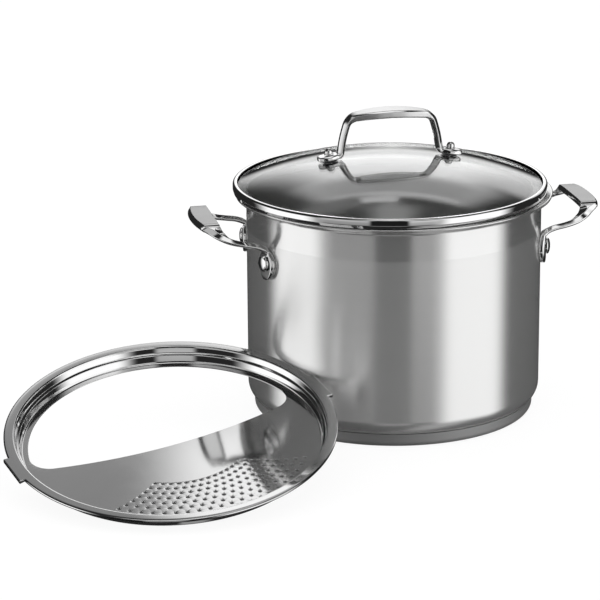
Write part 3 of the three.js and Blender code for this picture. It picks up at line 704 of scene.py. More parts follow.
# Each row is x, y, z, width, thickness, and the share of the flange's section.
HANDLE_ROWS = [
    (flange_x, flange_y, 126.2, 4.6, 3.2, 1),
    (flange_x, flange_y, 126.9, 7.8, 3.9, 1),
    (flange_x, flange_y, 128.6, 11.8, 4.2, 1),
    (flange_x, flange_y, 131.6, 16.2, 4.2, 1),
    (flange_x, flange_y, 135.0, 19.2, 4.2, 1),
    (flange_x, flange_y, 138.6, 20.0, 4.2, 1),
    (flange_x, flange_y, 142.2, 19.0, 4.2, 1),
    (flange_x, flange_y, 145.4, 15.4, 4.2, 1),
    (flange_x, flange_y, 148.0, 11.6, 4.2, 0.85),
    (flange_x + 0.5, flange_y - 0.1, 150.4, 9.0, 4.2, 0.4),
    (118.9, 43.9, 152.8, 7.9, 4.3, 0.1),
    (125.0, 43.6, 154.8, 7.6, 4.3, 0),
    (133.2, 42.8, 156.2, 7.8, 4.3, 0),
    (142.4, 40.8, 158.3, 8.4, 4.5, 0),
    (149.6, 37.8, 161.6, 9.8, 4.9, 0),
    (154.0, 34.4, 164.6, 12.4, 5.4, 0),
    (156.6, 31.6, 166.6, 14.4, 6.2, 0),
    (157.9, 29.0, 167.7, 15.4, 6.9, 0),
    (159.0, 20.0, 168.1, 17.4, 6.8, 0),
    (159.6, 10.0, 168.2, 18.4, 6.5, 0),
    (159.8, 0.0, 168.2, 18.6, 6.4, 0),
]


def side_handle():
    rings = []
    for station, direction in mirrored_stations(HANDLE_ROWS, 1, -1):
        centre, along = Vector(station[:3]), Vector(direction)
        width, thickness, flange = station[3:]
        flange = clamped(flange)
        side = math.copysign(1, centre.y)
        radial = Vector((centre.x, centre.y, 0)).normalized()
        on_wall = Vector((-radial.y, radial.x, 0)) * side
        level = Vector((along.y, -along.x, 0))
        on_wall_share = max(0.0, 1 - WALL_BLEND * level.length)
        across = level.lerp(on_wall, on_wall_share).normalized()
        straight_share = 1 - eased(abs(centre.y), TURN_START, TURN_END)
        across = across.lerp(Vector((1, 0, 0)), straight_share * (1 - flange)).normalized()
        through = across.cross(along).normalized()
        crown = 1 - eased(abs(centre.y), FACET_END, SLOPE_END)
        corners = mixed(mixed(ARM_SECTION, GRIP_SECTION, crown), FLANGE_SECTION, flange)
        ring = []
        for point in section_points(corners, width, thickness):
            place = centre + across * point.x + through * point.y
            hug = flange * point.x ** 2 / (2 * POT_RADIUS)
            ring.append(place - radial * hug)
        rings.append(ring)
    return loft(rings)


TOP_FACET_Z = 0.96
TOP_FACET_MARGIN = 0.2
GRIP_START = 146


def handle_finish(centre, normal):
    """The brushed top of the grip, whose dark colour is painted shade, and polish everywhere else."""
    on_grip = abs(centre.y) < FACET_END + TOP_FACET_MARGIN and abs(centre.x) > GRIP_START
    return 1 if on_grip and normal.z > TOP_FACET_Z else 0


handle_shape = side_handle()
for word, turn in (("right", 0), ("left", math.pi)):
    add_piece(
        f"handle_{word}_cast", handle_shape, [cast_polished, grip_brushed_painted_shade], "pot",
        [f"handle_{word}"], Matrix.Rotation(turn, 4, "Z"), handle_finish,
    )

# %% [markdown]
# ## Rivets
#
# Each flange is held by one rivet through the wall, with a broad low head outside and a smaller
# one inside the pot. The head is a flat dome on a short upright edge. It is turned round its own
# axis and then placed by a matrix whose Z points out of the wall.

# %% Rivets
HEAD_FACE = 2 * WALL_GAP + FLANGE_THICKNESS
HEAD_RADIUS = 6.5
HEAD_HEIGHT = 3.2
HEAD_EDGE = 1.1
HEAD_CHAMFER = 0.2
SHANK_RADIUS = 3
INNER_FACE = -POT_WALL - 2 * WALL_GAP
INNER_HEAD_RADIUS = 5
INNER_HEAD_HEIGHT = 1.6
INNER_HEAD_EDGE = 0.5


def dome(radius, low, high, steps=8):
    """A flattened quarter ellipse from (radius, low) up to the axis at high."""
    return [
        (radius * math.cos(a), low + (high - low) * math.sin(a))
        for a in (math.pi / 2 * step / steps for step in range(steps))
    ] + [(0, high)]


def wall_place(angle):
    """On the wall at a rivet's height, with Z pointing out of the wall."""
    turn = Matrix.Rotation(angle, 4, "Z")
    shift = Matrix.Translation((POT_RADIUS, 0, RIVET_HEIGHT))
    return millimetre_matrix(turn @ shift @ Matrix.Rotation(math.pi / 2, 4, "Y"))


rivet_profile = (
    dome(INNER_HEAD_RADIUS, INNER_FACE - INNER_HEAD_EDGE, INNER_FACE - INNER_HEAD_HEIGHT)[::-1]
    + [(INNER_HEAD_RADIUS, INNER_FACE), (SHANK_RADIUS, INNER_FACE), (SHANK_RADIUS, HEAD_FACE)]
    + [(HEAD_RADIUS - HEAD_CHAMFER, HEAD_FACE), (HEAD_RADIUS, HEAD_FACE + HEAD_CHAMFER)]
    + dome(HEAD_RADIUS, HEAD_FACE + HEAD_EDGE, HEAD_FACE + HEAD_HEIGHT)
)
rivet_shape = turned(rivet_profile, SMALL_TURN_SIDES)
for name, angle in (
    ("rivet_right_front", -RIVET_ANGLE),
    ("rivet_right_back", RIVET_ANGLE),
    ("rivet_left_back", math.pi - RIVET_ANGLE),
    ("rivet_left_front", math.pi + RIVET_ANGLE),
):
    add_piece(
        name + "_head", rivet_shape, [fastener_polished], "pot", [name],
        wall_place(angle),
    )

# %% [markdown]
# ## Lid glass
#
# The glass is a slice of a sphere of about 340 mm radius. Its profile is the arc of the outer
# face, the edge, and the arc of the inner face back to the axis. The lid sits a little to the left
# on the pot, as in the photograph, so everything on it has the same small shift.

# %% Lid glass
LID_SHIFT = -3.2
GLASS_RADIUS = 125.4
GLASS_DOME_RADIUS = 340.3
GLASS_THICKNESS = 4
GLASS_SEAT = 185.2
GLASS_EDGE = 0.5
GLASS_EDGE_DROP = 0.6
DOME_CENTRE = GLASS_SEAT - math.sqrt((GLASS_DOME_RADIUS - GLASS_THICKNESS) ** 2 - GLASS_RADIUS ** 2)

lid_place = Matrix.Translation((LID_SHIFT * MM, 0, 0))


def dome_arc(radius, edge, steps=40):
    """Points of the dome's arc from the axis out to the given radius from the axis."""
    last = math.asin(edge / radius)
    return [
        (radius * math.sin(last * i / steps), DOME_CENTRE + radius * math.cos(last * i / steps))
        for i in range(steps + 1)
    ]


glass_edge_top = dome_arc(GLASS_DOME_RADIUS, GLASS_RADIUS)[-1][1]
glass_profile = (
    dome_arc(GLASS_DOME_RADIUS, GLASS_RADIUS - GLASS_EDGE)
    + [(GLASS_RADIUS, glass_edge_top - GLASS_EDGE_DROP)]
    + dome_arc(GLASS_DOME_RADIUS - GLASS_THICKNESS, GLASS_RADIUS)[::-1]
)
add_piece(
    "lid_glass_dome", turned(glass_profile), [glass_clear], "lid", ["lid_glass"],
    lid_place,
)

# %% [markdown]
# ## Lid rim band
#
# A steel band is rolled round the edge of the glass: it covers the cut edge, carries the lid on
# the pot's lip, and has a skirt that drops into the pot so that the lid can't slide off. Its outer
# face is upright, its shoulder is round and its lower edge is rolled in, which gives one bright
# band with thin lines above it and a black line below. The lip over the glass is as narrow as in
# the photograph, 1.3 mm less than the solid's.
#
# Through the glass one looks into the band's channel and at the skirt. The channel's steel has a
# dark colour, which is painted shade for the hollow under the lip. The skirt is dull like the inside of
# the pot, with a polished fold and a polished bottom edge. All the rest of the band is polished.

# %% Lid rim band
BAND_RADIUS = 128.6
BAND_BOTTOM = 183.5
BAND_TOP = 191.6
BAND_WALL = 0.8
BAND_SHOULDER = 2.2
BAND_LEAN = 0.8
BAND_BEND = 2.8
BAND_LIP_RADIUS = 124.9
BAND_LIP_DROP = 0.2
SKIRT_RADIUS = 116.2
SKIRT_BOTTOM = 177.5
SKIRT_FOLD = 1.2
SKIRT_EDGE = 0.38
FACE_MARGIN = 0.1

band_in = BAND_RADIUS - BAND_WALL
skirt_in = SKIRT_RADIUS - BAND_WALL
channel_top = BAND_TOP - BAND_WALL
channel_bottom = BAND_BOTTOM + BAND_WALL
band_profile = rounded(
    [
        (SKIRT_RADIUS, BAND_BOTTOM, 0.5),
        (BAND_RADIUS - BAND_LEAN, BAND_BOTTOM, 0.6),
        (BAND_RADIUS, BAND_BOTTOM + BAND_BEND, 2.0),
        (BAND_RADIUS, BAND_TOP, BAND_SHOULDER),
        (BAND_LIP_RADIUS, BAND_TOP - BAND_LIP_DROP, 0.25),
        (BAND_LIP_RADIUS, channel_top, 0.15),
        (band_in, channel_top, BAND_SHOULDER - BAND_WALL),
        (band_in - BAND_LEAN, channel_bottom, 0.2),
        (skirt_in, channel_bottom, SKIRT_FOLD),
        (skirt_in, SKIRT_BOTTOM, SKIRT_EDGE),
        (SKIRT_RADIUS, SKIRT_BOTTOM, SKIRT_EDGE),
    ],
    steps=8,
)


def band_finish(centre, normal):
    """0 is polished, 1 the channel, darkened with painted shade, and 2 the dull face of the skirt."""
    radius = math.hypot(centre.x, centre.y)
    outside = radius > band_in + FACE_MARGIN or centre.z > channel_top + FACE_MARGIN
    if outside or centre.z < BAND_BOTTOM + FACE_MARGIN:
        return 0
    if radius > SKIRT_RADIUS - FACE_MARGIN:
        return 1
    return 2 if SKIRT_BOTTOM + SKIRT_EDGE < centre.z < channel_bottom - SKIRT_FOLD else 0


add_piece(
    "lid_rim_band_rolled", turned(band_profile, closed=True),
    [band_polished, recess_painted_shade, body_inside], "lid",
    ["lid_rim_band"], lid_place, band_finish,
)

# %% [markdown]
# ## Lid handle
#
# The lid's handle is a loop like the others, but it stands upright on two feet that follow the
# slope of the glass. Its legs have a ridge to the front and to the back, and its grip is a leaf
# shape, widest in the middle, with a brushed top and evenly grey sides. The path runs from the tip
# of one foot, under the nut, up the leg and along the grip.

# %% Lid handle
FOOT_RADIUS = 50
FOOT_LEAN = math.asin(FOOT_RADIUS / GLASS_DOME_RADIUS)
WASHER_SPACE = 1.5
FOOT_UNDERSIDE = GLASS_DOME_RADIUS + WASHER_SPACE
FOOT_THICKNESS = 3.9
FOOT_TOP = FOOT_UNDERSIDE + FOOT_THICKNESS


def foot_point(reach, height=FOOT_UNDERSIDE + FOOT_THICKNESS / 2):
    """A point over one foot: reach from the screw to the tip, height from the dome's centre."""
    lean = Matrix.Rotation(FOOT_LEAN, 3, "Y")
    return Vector((0, 0, DOME_CENTRE)) + lean @ Vector((reach, 0, height))


LEG_SECTION = [
    (0.5, 0.05), (0.24, 0.5), (-0.24, 0.5), (-0.5, 0.05),
    (-0.5, -0.05), (-0.24, -0.5), (0.24, -0.5), (0.5, -0.05),
]
LID_GRIP_SECTION = [
    (0.5, 0.26), (0.43, 0.5), (-0.43, 0.5), (-0.5, 0.26),
    (-0.5, -0.34), (-0.42, -0.5), (0.42, -0.5), (0.5, -0.34),
]
FOOT_SECTION = [
    (0.5, 0.12), (0.40, 0.5), (-0.40, 0.5), (-0.5, 0.12),
    (-0.5, -0.42), (-0.47, -0.5), (0.47, -0.5), (0.5, -0.42),
]
# Each row is x, y, z, width, thickness, and the shares of the foot's and the grip's sections.
LID_HANDLE_ROWS = [
    (*foot_point(9.9), 4.4, 2.4, 1, 0),
    (*foot_point(9.3), 7.4, 3.3, 1, 0),
    (*foot_point(7.9), 9.8, 3.8, 1, 0),
    (*foot_point(5.4), 12.0, 3.9, 1, 0),
    (*foot_point(2.3), 13.1, 3.9, 1, 0),
    (*foot_point(-1.0), 12.9, 3.9, 1, 0),
    (*foot_point(-4.4), 11.2, 4.0, 1, 0),
    (*foot_point(-6.9), 9.8, 4.4, 0.8, 0),
    (41.7, 0, 215.3, 9.4, 5.0, 0.4, 0),
    (41.0, 0, 218.4, 9.2, 5.6, 0.0, 0),
    (39.5, 0, 227.2, 9.2, 5.6, 0, 0),
    (37.4, 0, 235.6, 9.4, 5.6, 0, 0),
    (35.2, 0, 241.3, 9.9, 5.7, 0, 0.1),
    (30.7, 0, 244.9, 12.2, 5.8, 0, 0.8),
    (24.1, 0, 246.3, 15.4, 6.0, 0, 1),
    (12.1, 0, 247.5, 19.8, 6.3, 0, 1),
    (0.0, 0, 248.0, 21.0, 6.4, 0, 1),
]


def lid_handle():
    across = Vector((0, 1, 0))
    rings = []
    for station, direction in mirrored_stations(LID_HANDLE_ROWS, 0, 1):
        centre = Vector(station[:3])
        width, thickness, foot, grip = station[3:]
        through = across.cross(Vector(direction)).normalized()
        corners = mixed(mixed(LEG_SECTION, LID_GRIP_SECTION, grip), FOOT_SECTION, foot)
        points = section_points(corners, width, thickness)
        rings.append([centre + across * p.x + through * p.y for p in points])
    return loft(rings)


LID_FACET_END = 33.5
LID_GRIP_BOTTOM = 243
LID_TOP_FACET_Z = 0.9
LID_SIDE_FACET_Y = 0.8


def lid_handle_finish(centre, normal):
    """The brushed top and the grey sides of the grip, and polish everywhere else."""
    if abs(centre.x) > LID_FACET_END or centre.z < LID_GRIP_BOTTOM:
        return 0
    if abs(normal.y) > LID_SIDE_FACET_Y:
        return 2
    return 1 if normal.z > LID_TOP_FACET_Z else 0


add_piece(
    "lid_handle_cast", lid_handle(), [cast_polished, lid_leaf_brushed, grip_side], "lid",
    ["lid_handle"], lid_place, lid_handle_finish,
)

# %% [markdown]
# ## Lid fasteners
#
# A screw comes up through the glass at each foot, with a rubber washer on each side of the glass
# so that steel never touches it. On top a small domed nut with a collar closes it off. All of them
# are turned profiles on one axis, which leans with the slope of the dome.

# %% Lid fasteners
SCREW_RADIUS = 2.3
SCREW_HEAD_RADIUS = 5.4
SCREW_HEAD_HEIGHT = 2.6
SCREW_HEAD_EDGE = 0.8
SCREW_CHAMFER = 0.4
SCREW_REACH = 2.6
SCREW_ROOM = 0.4
SCREW_END = FOOT_TOP + SCREW_REACH
NUT_RADIUS = 3.9
NUT_HEIGHT = 5.2
NUT_BAND = 2.0
NUT_COLLAR = 0.9
NUT_STEP = 0.6
NUT_CHAMFER = 0.2
NUT_BOTTOM = FOOT_TOP + WALL_GAP
BORE = SCREW_RADIUS + SCREW_ROOM
WASHER_RADIUS = 6.4
WASHER_THICKNESS = 0.9
GLASS_BOTTOM = GLASS_DOME_RADIUS - GLASS_THICKNESS

head_top = GLASS_BOTTOM - WASHER_THICKNESS - 2 * WALL_GAP
nut_top_radius = NUT_RADIUS - NUT_STEP
screw_profile = (
    dome(SCREW_HEAD_RADIUS, head_top - SCREW_HEAD_EDGE, head_top - SCREW_HEAD_HEIGHT)[::-1]
    + [(SCREW_HEAD_RADIUS, head_top), (SCREW_RADIUS, head_top)]
    + [(SCREW_RADIUS, SCREW_END - SCREW_CHAMFER), (SCREW_RADIUS - SCREW_CHAMFER, SCREW_END)]
    + [(0, SCREW_END)]
)
nut_profile = (
    [(BORE, SCREW_END + WALL_GAP), (BORE, NUT_BOTTOM), (NUT_RADIUS - NUT_CHAMFER, NUT_BOTTOM)]
    + [(NUT_RADIUS, NUT_BOTTOM + NUT_CHAMFER), (NUT_RADIUS, NUT_BOTTOM + NUT_COLLAR)]
    + [(nut_top_radius, NUT_BOTTOM + NUT_COLLAR + NUT_CHAMFER)]
    + dome(nut_top_radius, NUT_BOTTOM + NUT_BAND, NUT_BOTTOM + NUT_HEIGHT)
    + [(0, SCREW_END + WALL_GAP)]
)


def washer_profile(bottom):
    return rounded(
        [
            (BORE, bottom, 0.2),
            (WASHER_RADIUS, bottom, 0.35),
            (WASHER_RADIUS, bottom + WASHER_THICKNESS, 0.35),
            (BORE, bottom + WASHER_THICKNESS, 0.2),
        ],
        steps=4,
    )


def foot_place(side):
    """At the dome's centre, with Z leaning towards the foot on one side."""
    turn = Matrix.Rotation(0 if side > 0 else math.pi, 4, "Z")
    shift = Matrix.Translation((LID_SHIFT, 0, DOME_CENTRE))
    return millimetre_matrix(shift @ turn @ Matrix.Rotation(FOOT_LEAN, 4, "Y"))


upper_washer = washer_profile(GLASS_DOME_RADIUS + WALL_GAP)
lower_washer = washer_profile(GLASS_BOTTOM - WALL_GAP - WASHER_THICKNESS)
for word, side in (("left", -1), ("right", 1)):
    place = foot_place(side)
    for kind, profile, closed, finish, slot in (
        ("screw", screw_profile, False, fastener_polished, "fastener_steel"),
        ("nut", nut_profile, True, fastener_polished, "fastener_steel"),
        ("upper_washer", upper_washer, True, washer_rubber, "washer_rubber"),
        ("lower_washer", lower_washer, True, washer_rubber, "washer_rubber"),
    ):
        add_piece(
            f"lid_{kind}_{word}_turned", turned(profile, SMALL_TURN_SIDES, closed), [finish],
            "lid", [f"lid_{kind}_{word}"], place,
        )

# %% [markdown]
# ## Strainer insert
#
# The insert is pressed from one sheet. Its flange sits on the pot's lip, its stepped collar drops
# into the pot, and its plate closes half of the mouth with 140 holes while the other half stays
# open for filling. Two tabs catch under the handles when it is twisted.
#
# Cutting 140 holes with booleans is slow and leaves poor normals. Here the collar and flange are
# turned in columns, and the flat plate is filled between its outlines by a constrained Delaunay
# triangulation, which leaves the openings out. Every opening then gets a small rounded edge.
#
# The sheet's section comes first. On a tab its edge lies further out and bends down further, so
# each point has two places. The solid's flange has many short straight sides, and the round flange
# here is a trace smaller to stay inside them.

# %% Section of the insert
SHEET = 0.8
INSERT_RADIUS = 129.5
INSERT_FOLD_RADIUS = 120.6
COLLAR_STEP_RADIUS = 118.4
COLLAR_FOOT_RADIUS = 116.6
STEP_TOP, STEP_BOTTOM = -5.6, -6.4
UNDER_STEP_TOP, UNDER_STEP_BOTTOM = -6.3, -7.3
PLATE_DEPTH = 13
PLATE_FOLD = 1.6
PLATE_EDGE = COLLAR_FOOT_RADIUS - PLATE_FOLD
EDGE_START = 3
FACET_TRIM = 0.3
TAB_REACH = 132.2
TAB_DROP = 3


def insert_section():
    """The sheet's section from the plate's top edge round the flange to its bottom edge.

    Each point is (radius, height, tab radius, tab height): the last two hold on the tabs.
    """
    inner_top = rounded(
        [
            (0, -PLATE_DEPTH, 0),
            (COLLAR_FOOT_RADIUS, -PLATE_DEPTH, PLATE_FOLD),
            (COLLAR_STEP_RADIUS - SHEET, STEP_BOTTOM, 0.8),
            (INSERT_FOLD_RADIUS - SHEET, STEP_TOP, 0.8),
            (INSERT_FOLD_RADIUS, 0, 1.7),
            (INSERT_RADIUS - EDGE_START, 0, 0),
        ]
    )[1:-1]
    inner_bottom = rounded(
        [
            (INSERT_RADIUS - EDGE_START, -SHEET, 0),
            (INSERT_FOLD_RADIUS + SHEET, -SHEET, 0.9),
            (INSERT_FOLD_RADIUS, UNDER_STEP_TOP, 1.5),
            (COLLAR_STEP_RADIUS, UNDER_STEP_BOTTOM, 0.5),
            (COLLAR_FOOT_RADIUS, -PLATE_DEPTH - SHEET, PLATE_FOLD + SHEET),
            (0, -PLATE_DEPTH - SHEET, 0),
        ]
    )[1:-1]
    rim, tab = INSERT_RADIUS - FACET_TRIM, TAB_REACH
    edge = [
        (rim - EDGE_START, 0, rim - EDGE_START, 0),
        (rim - 1.1, 0, tab - 0.8, 0),
        (rim - 0.55, -0.12, tab - 0.4, -0.1),
        (rim - 0.14, -0.5, tab - 0.1, -0.4),
        (rim, -1.1, tab, -0.8),
        (rim, -1.9, tab, -TAB_DROP + 0.15),
        (rim - 0.1, -2.0, tab - 0.15, -TAB_DROP),
        (rim - 0.7, -2.0, tab - 0.65, -TAB_DROP),
        (rim - 0.8, -1.9, tab - 0.8, -TAB_DROP + 0.15),
        (rim - 0.8, -1.3, tab - 0.8, -1.0),
        (rim - 1.2, -SHEET, tab - 1.0, -SHEET),
        (rim - EDGE_START, -SHEET, rim - EDGE_START, -SHEET),
    ]
    whole = [(r, z, r, z) for r, z in inner_top] + edge + [(r, z, r, z) for r, z in inner_bottom]
    whole[0] = (PLATE_EDGE, -PLATE_DEPTH, PLATE_EDGE, -PLATE_DEPTH)
    whole[-1] = (PLATE_EDGE, -PLATE_DEPTH - SHEET, PLATE_EDGE, -PLATE_DEPTH - SHEET)
    return whole


print("section:", len(insert_section()), "points")

# %% [markdown]
# ## Columns round the insert
#
# The section is carried round the insert in columns. Most of them point away from the middle. A
# tab is straight where the flange is round, so the columns on the tabs are parallel instead.

# %% Columns round the insert
TAB_HALF = 16.5
FLANGE_COLUMNS = 128
TAB_COLUMNS = 10


def insert_columns():
    """(angle, y on a tab or None, side) for each column round the insert."""
    tab_angle = math.asin(TAB_HALF / INSERT_RADIUS)
    columns = []
    for side, start in ((1, 0.0), (-1, math.pi)):
        for i in range(TAB_COLUMNS + 1):
            y = TAB_HALF * (2 * i / TAB_COLUMNS - 1)
            columns.append((start + math.asin(y / INSERT_RADIUS), y, side))
        free = math.pi - 2 * tab_angle
        for i in range(FLANGE_COLUMNS + 1):
            columns.append((start + tab_angle + free * i / FLANGE_COLUMNS, None, side))
    return columns


print("columns:", len(insert_columns()))

# %% [markdown]
# ## Openings of the plate
#
# The pouring opening is bounded by a circle and by one flat arc, with round corners where they
# meet. The holes lie on eight rings round the insert's middle. Each ring has one hole more than
# the ring inside it, and the fan that they make grows wider from ring to ring.
#
# Every outline can be drawn a little larger, which gives the places of its rounded edge. Whether a
# triangle of the plate lies in a hole is a question of distance. For the pouring opening, a line
# from the triangle crosses the outline an odd number of times if the triangle is inside.

# %% Openings of the plate
OPENING_RADIUS = 111
OPENING_EDGE_RADIUS = 380
OPENING_EDGE_OFFSET = -6.5
OPENING_CORNER = 17
HOLE_RADIUS = 1.5
HOLE_SIDES = 20
HOLE_RINGS = 8
FIRST_RING_HOLES = 14
FIRST_RING_RADIUS = 60.8
RING_PITCH = 6.55
FIRST_SPAN = math.radians(72)
LAST_SPAN = math.radians(98.3)
EDGE_ROUNDING = 0.22


def opening_outline(grow=0.0, steps=10):
    """The pouring opening: the plate's circle and one flat arc, with rounded corners."""
    edge_y = OPENING_EDGE_OFFSET + OPENING_EDGE_RADIUS
    to_plate = OPENING_RADIUS - OPENING_CORNER
    to_edge = OPENING_EDGE_RADIUS - OPENING_CORNER
    corner_y = (to_plate ** 2 - to_edge ** 2 + edge_y ** 2) / (2 * edge_y)
    corner_x = math.sqrt(to_plate ** 2 - corner_y ** 2)
    rim = math.atan2(corner_y, corner_x)
    edge = math.atan2(corner_y - edge_y, corner_x)
    arcs = (
        (0, 0, OPENING_RADIUS, rim, math.pi - rim, 8 * steps),
        (-corner_x, corner_y, OPENING_CORNER, math.pi - rim, math.pi - edge, 2 * steps),
        (0, edge_y, OPENING_EDGE_RADIUS, -math.pi - edge, edge, 4 * steps),
        (corner_x, corner_y, OPENING_CORNER, edge, rim, 2 * steps),
    )
    points = []
    for x, y, radius, start, end, count in arcs:
        reach = radius + grow
        for i in range(count):
            angle = start + (end - start) * i / count
            points.append((x + reach * math.cos(angle), y + reach * math.sin(angle)))
    return points


def hole_places():
    for ring in range(HOLE_RINGS):
        share = ring / (HOLE_RINGS - 1)
        radius = FIRST_RING_RADIUS + ring * RING_PITCH
        span = FIRST_SPAN + share * (LAST_SPAN - FIRST_SPAN)
        holes = FIRST_RING_HOLES + ring
        for i in range(holes):
            angle = -math.pi / 2 + span * (i / (holes - 1) - 1 / 2)
            yield radius * math.cos(angle), radius * math.sin(angle)


def hole_outline(x, y, grow=0.0):
    size = HOLE_RADIUS + grow
    turns = [2 * math.pi * i / HOLE_SIDES for i in range(HOLE_SIDES)]
    return [(x + size * math.cos(t), y + size * math.sin(t)) for t in turns]


def in_opening(face, points):
    """Whether a triangle of the plate lies in the pouring opening or in a hole."""
    x = sum(points[i].x for i in face) / len(face)
    y = sum(points[i].y for i in face) / len(face)
    reach = (HOLE_RADIUS + EDGE_ROUNDING) * math.cos(math.pi / HOLE_SIDES)
    if any(math.dist((x, y), place) < reach for place in hole_places()):
        return True
    crossings = 0
    outline = opening_outline(EDGE_ROUNDING)
    for (ax, ay), (bx, by) in zip(outline, outline[1:] + outline[:1]):
        if (ay > y) != (by > y) and x < ax + (bx - ax) * (y - ay) / (by - ay):
            crossings += 1
    return crossings % 2 == 1


print("holes:", len(list(hole_places())))

# %% [markdown]
# ## Plate and skin
#
# The section, placed on every column, makes the skin of the collar and the flange. The two faces
# of the plate are the same triangles at two heights. Last, each opening gets its wall, with a
# small rounding at the top and at the bottom. All of it meets place by place, and add_piece merges
# the places that lie on each other.

# %% Plate and skin
ROUNDING_MIDDLE = 0.3


def strainer_insert():
    places, faces = [], []

    def add_places(more):
        """Adds places and gives their numbers."""
        first = len(places)
        places.extend(more)
        return list(range(first, len(places)))

    rings = []
    columns = insert_columns()
    for radius, height, tab_radius, tab_height in insert_section():
        ring = []
        for angle, y, side in columns:
            if y is None or tab_radius == radius:
                ring.append((radius * math.cos(angle), radius * math.sin(angle), height))
            else:
                ring.append((side * tab_radius, side * y, tab_height))
        rings.append(add_places(ring))
    faces += joined(rings)

    outer = [places[i][:2] for i in rings[0]]
    outer = [p for i, p in enumerate(outer) if math.dist(p, outer[i - 1]) > TINY]
    openings = [opening_outline] + [partial(hole_outline, x, y) for x, y in hole_places()]
    points, edges = [], []
    for outline in [outer] + [outline_of(EDGE_ROUNDING) for outline_of in openings]:
        first = len(points)
        points += [Vector(p) for p in outline]
        edges += [(first + i, first + (i + 1) % len(outline)) for i in range(len(outline))]
    filled = delaunay_2d_cdt(points, edges, [], 1, TINY)
    sheet_faces = [face for face in filled[2] if not in_opening(face, filled[0])]
    for height, turn in ((-PLATE_DEPTH, 1), (-PLATE_DEPTH - SHEET, -1)):
        numbers = add_places([(point.x, point.y, height) for point in filled[0]])
        faces += [[numbers[i] for i in face][::turn] for face in sheet_faces]

    middle = EDGE_ROUNDING * ROUNDING_MIDDLE
    levels = (
        (EDGE_ROUNDING, 0), (middle, -middle), (0, -EDGE_ROUNDING),
        (0, EDGE_ROUNDING - SHEET), (middle, middle - SHEET), (EDGE_ROUNDING, -SHEET),
    )
    for outline_of in openings:
        faces += joined([
            add_places([(x, y, drop - PLATE_DEPTH) for x, y in outline_of(grow)])
            for grow, drop in levels
        ])
    print("plate:", len(sheet_faces), "triangles a side,", len(openings) - 1, "holes")
    return places, faces


insert_shape = strainer_insert()

# %% [markdown]
# ## Where the insert leans
#
# The insert stands on the low edge of its collar and leans towards the pot. Its middle is as high
# as that lean makes it, and as far from the pot as brings its flange within one small gap of the
# wall. Its flange and collar are polished, the plate is a little softer, and the hem under the
# flange has a dark colour that is painted shade.

# %% Where the insert leans
INSERT_LEAN = math.radians(13.3)
INSERT_HEADING = math.radians(-13.3)
INSERT_TURN = math.radians(28)
INSERT_BEARING = math.radians(212.7)
HEM_DROP = 1.1
HEM_WIDTH = 1.5
FLAT_Z = 0.99
PLATE_MARGIN = 0.01


def insert_place():
    height = (PLATE_DEPTH + SHEET) * math.cos(INSERT_LEAN) + PLATE_EDGE * math.sin(INSERT_LEAN)
    bearing = INSERT_BEARING - math.pi - INSERT_HEADING
    reach = INSERT_RADIUS * math.hypot(math.cos(bearing), math.sin(bearing) * math.cos(INSERT_LEAN))
    distance = POT_RADIUS + WALL_GAP + reach
    centre = Vector((math.cos(INSERT_BEARING) * distance, math.sin(INSERT_BEARING) * distance, height))
    turn = (
        Matrix.Rotation(INSERT_HEADING, 4, "Z")
        @ Matrix.Rotation(INSERT_LEAN, 4, "X")
        @ Matrix.Rotation(INSERT_TURN, 4, "Z")
    )
    return millimetre_matrix(Matrix.Translation(centre) @ turn)


def insert_finish(centre, normal):
    """0 is the polished flange and collar, 1 the plate and 2 the hem, darkened with painted shade."""
    radius = math.hypot(centre.x, centre.y)
    if radius > INSERT_RADIUS - HEM_WIDTH and centre.z < -HEM_DROP:
        return 2
    flat = abs(normal.z) > FLAT_Z and centre.z < -PLATE_DEPTH + PLATE_MARGIN
    return 1 if flat and radius < PLATE_EDGE else 0


add_piece(
    "strainer_insert_pressed", insert_shape, [insert_polished, insert_satin, recess_painted_shade],
    "strainer", ["strainer_insert"], insert_place(), insert_finish,
)

# %% [markdown]
# ## Studio cards
#
# The picture is a cut-out on white: the floor and the backdrop are pure white and there is only a
# trace of shadow. The steel, though, shows the studio it was taken in: wide soft boxes left and
# right, a dark gap behind the camera, and bright cards behind the object. All of that is in the
# world here, as cards on the inside of a large sphere, laid out by heading and height.
#
# One card is a shader group, because there are many: it lays a shade over what is below it, with
# soft edges.

# %% Studio card
DEGREES = 180 / math.pi


def card_group():
    group = new_group(
        "studio_card",
        [
            ("Below", COLOR, (1, 1, 1, 1)),
            ("Heading", FLOAT, 0.0),
            ("Height", FLOAT, 0.0),
            ("Middle", FLOAT, 0.0),
            ("Half Width", FLOAT, 20.0),
            ("Side Softness", FLOAT, 4.0),
            ("Bottom", FLOAT, -90.0),
            ("Top", FLOAT, 90.0),
            ("End Softness", FLOAT, 5.0),
            ("Shade", FLOAT, 1.0),
        ],
        [("Color", COLOR)],
    )
    b = Builder(group)
    given = b.add("NodeGroupInput").outputs
    away = b.math("WRAP", b.math("SUBTRACT", given["Heading"], given["Middle"]), 180.0, -180.0)
    outside = b.math("SUBTRACT", b.math("ABSOLUTE", away), given["Half Width"])
    side_inwards = b.math("MULTIPLY", given["Side Softness"], -1.0)
    sides = b.remap(outside, given["Side Softness"], side_inwards)
    over = b.math("SUBTRACT", given["Height"], given["Bottom"])
    under = b.math("SUBTRACT", given["Top"], given["Height"])
    end_outwards = b.math("MULTIPLY", given["End Softness"], -1.0)
    ends = b.remap(b.math("MINIMUM", over, under), end_outwards, given["End Softness"])
    cover = b.math("MULTIPLY", sides, ends)
    shade = b.add("ShaderNodeCombineColor", dict.fromkeys(range(3), given["Shade"]))
    b.add("NodeGroupOutput", {"Color": b.mix(cover, given["Below"], shade.outputs[0])})
    return group


card = card_group()
print("one card has", len(card.nodes), "nodes")

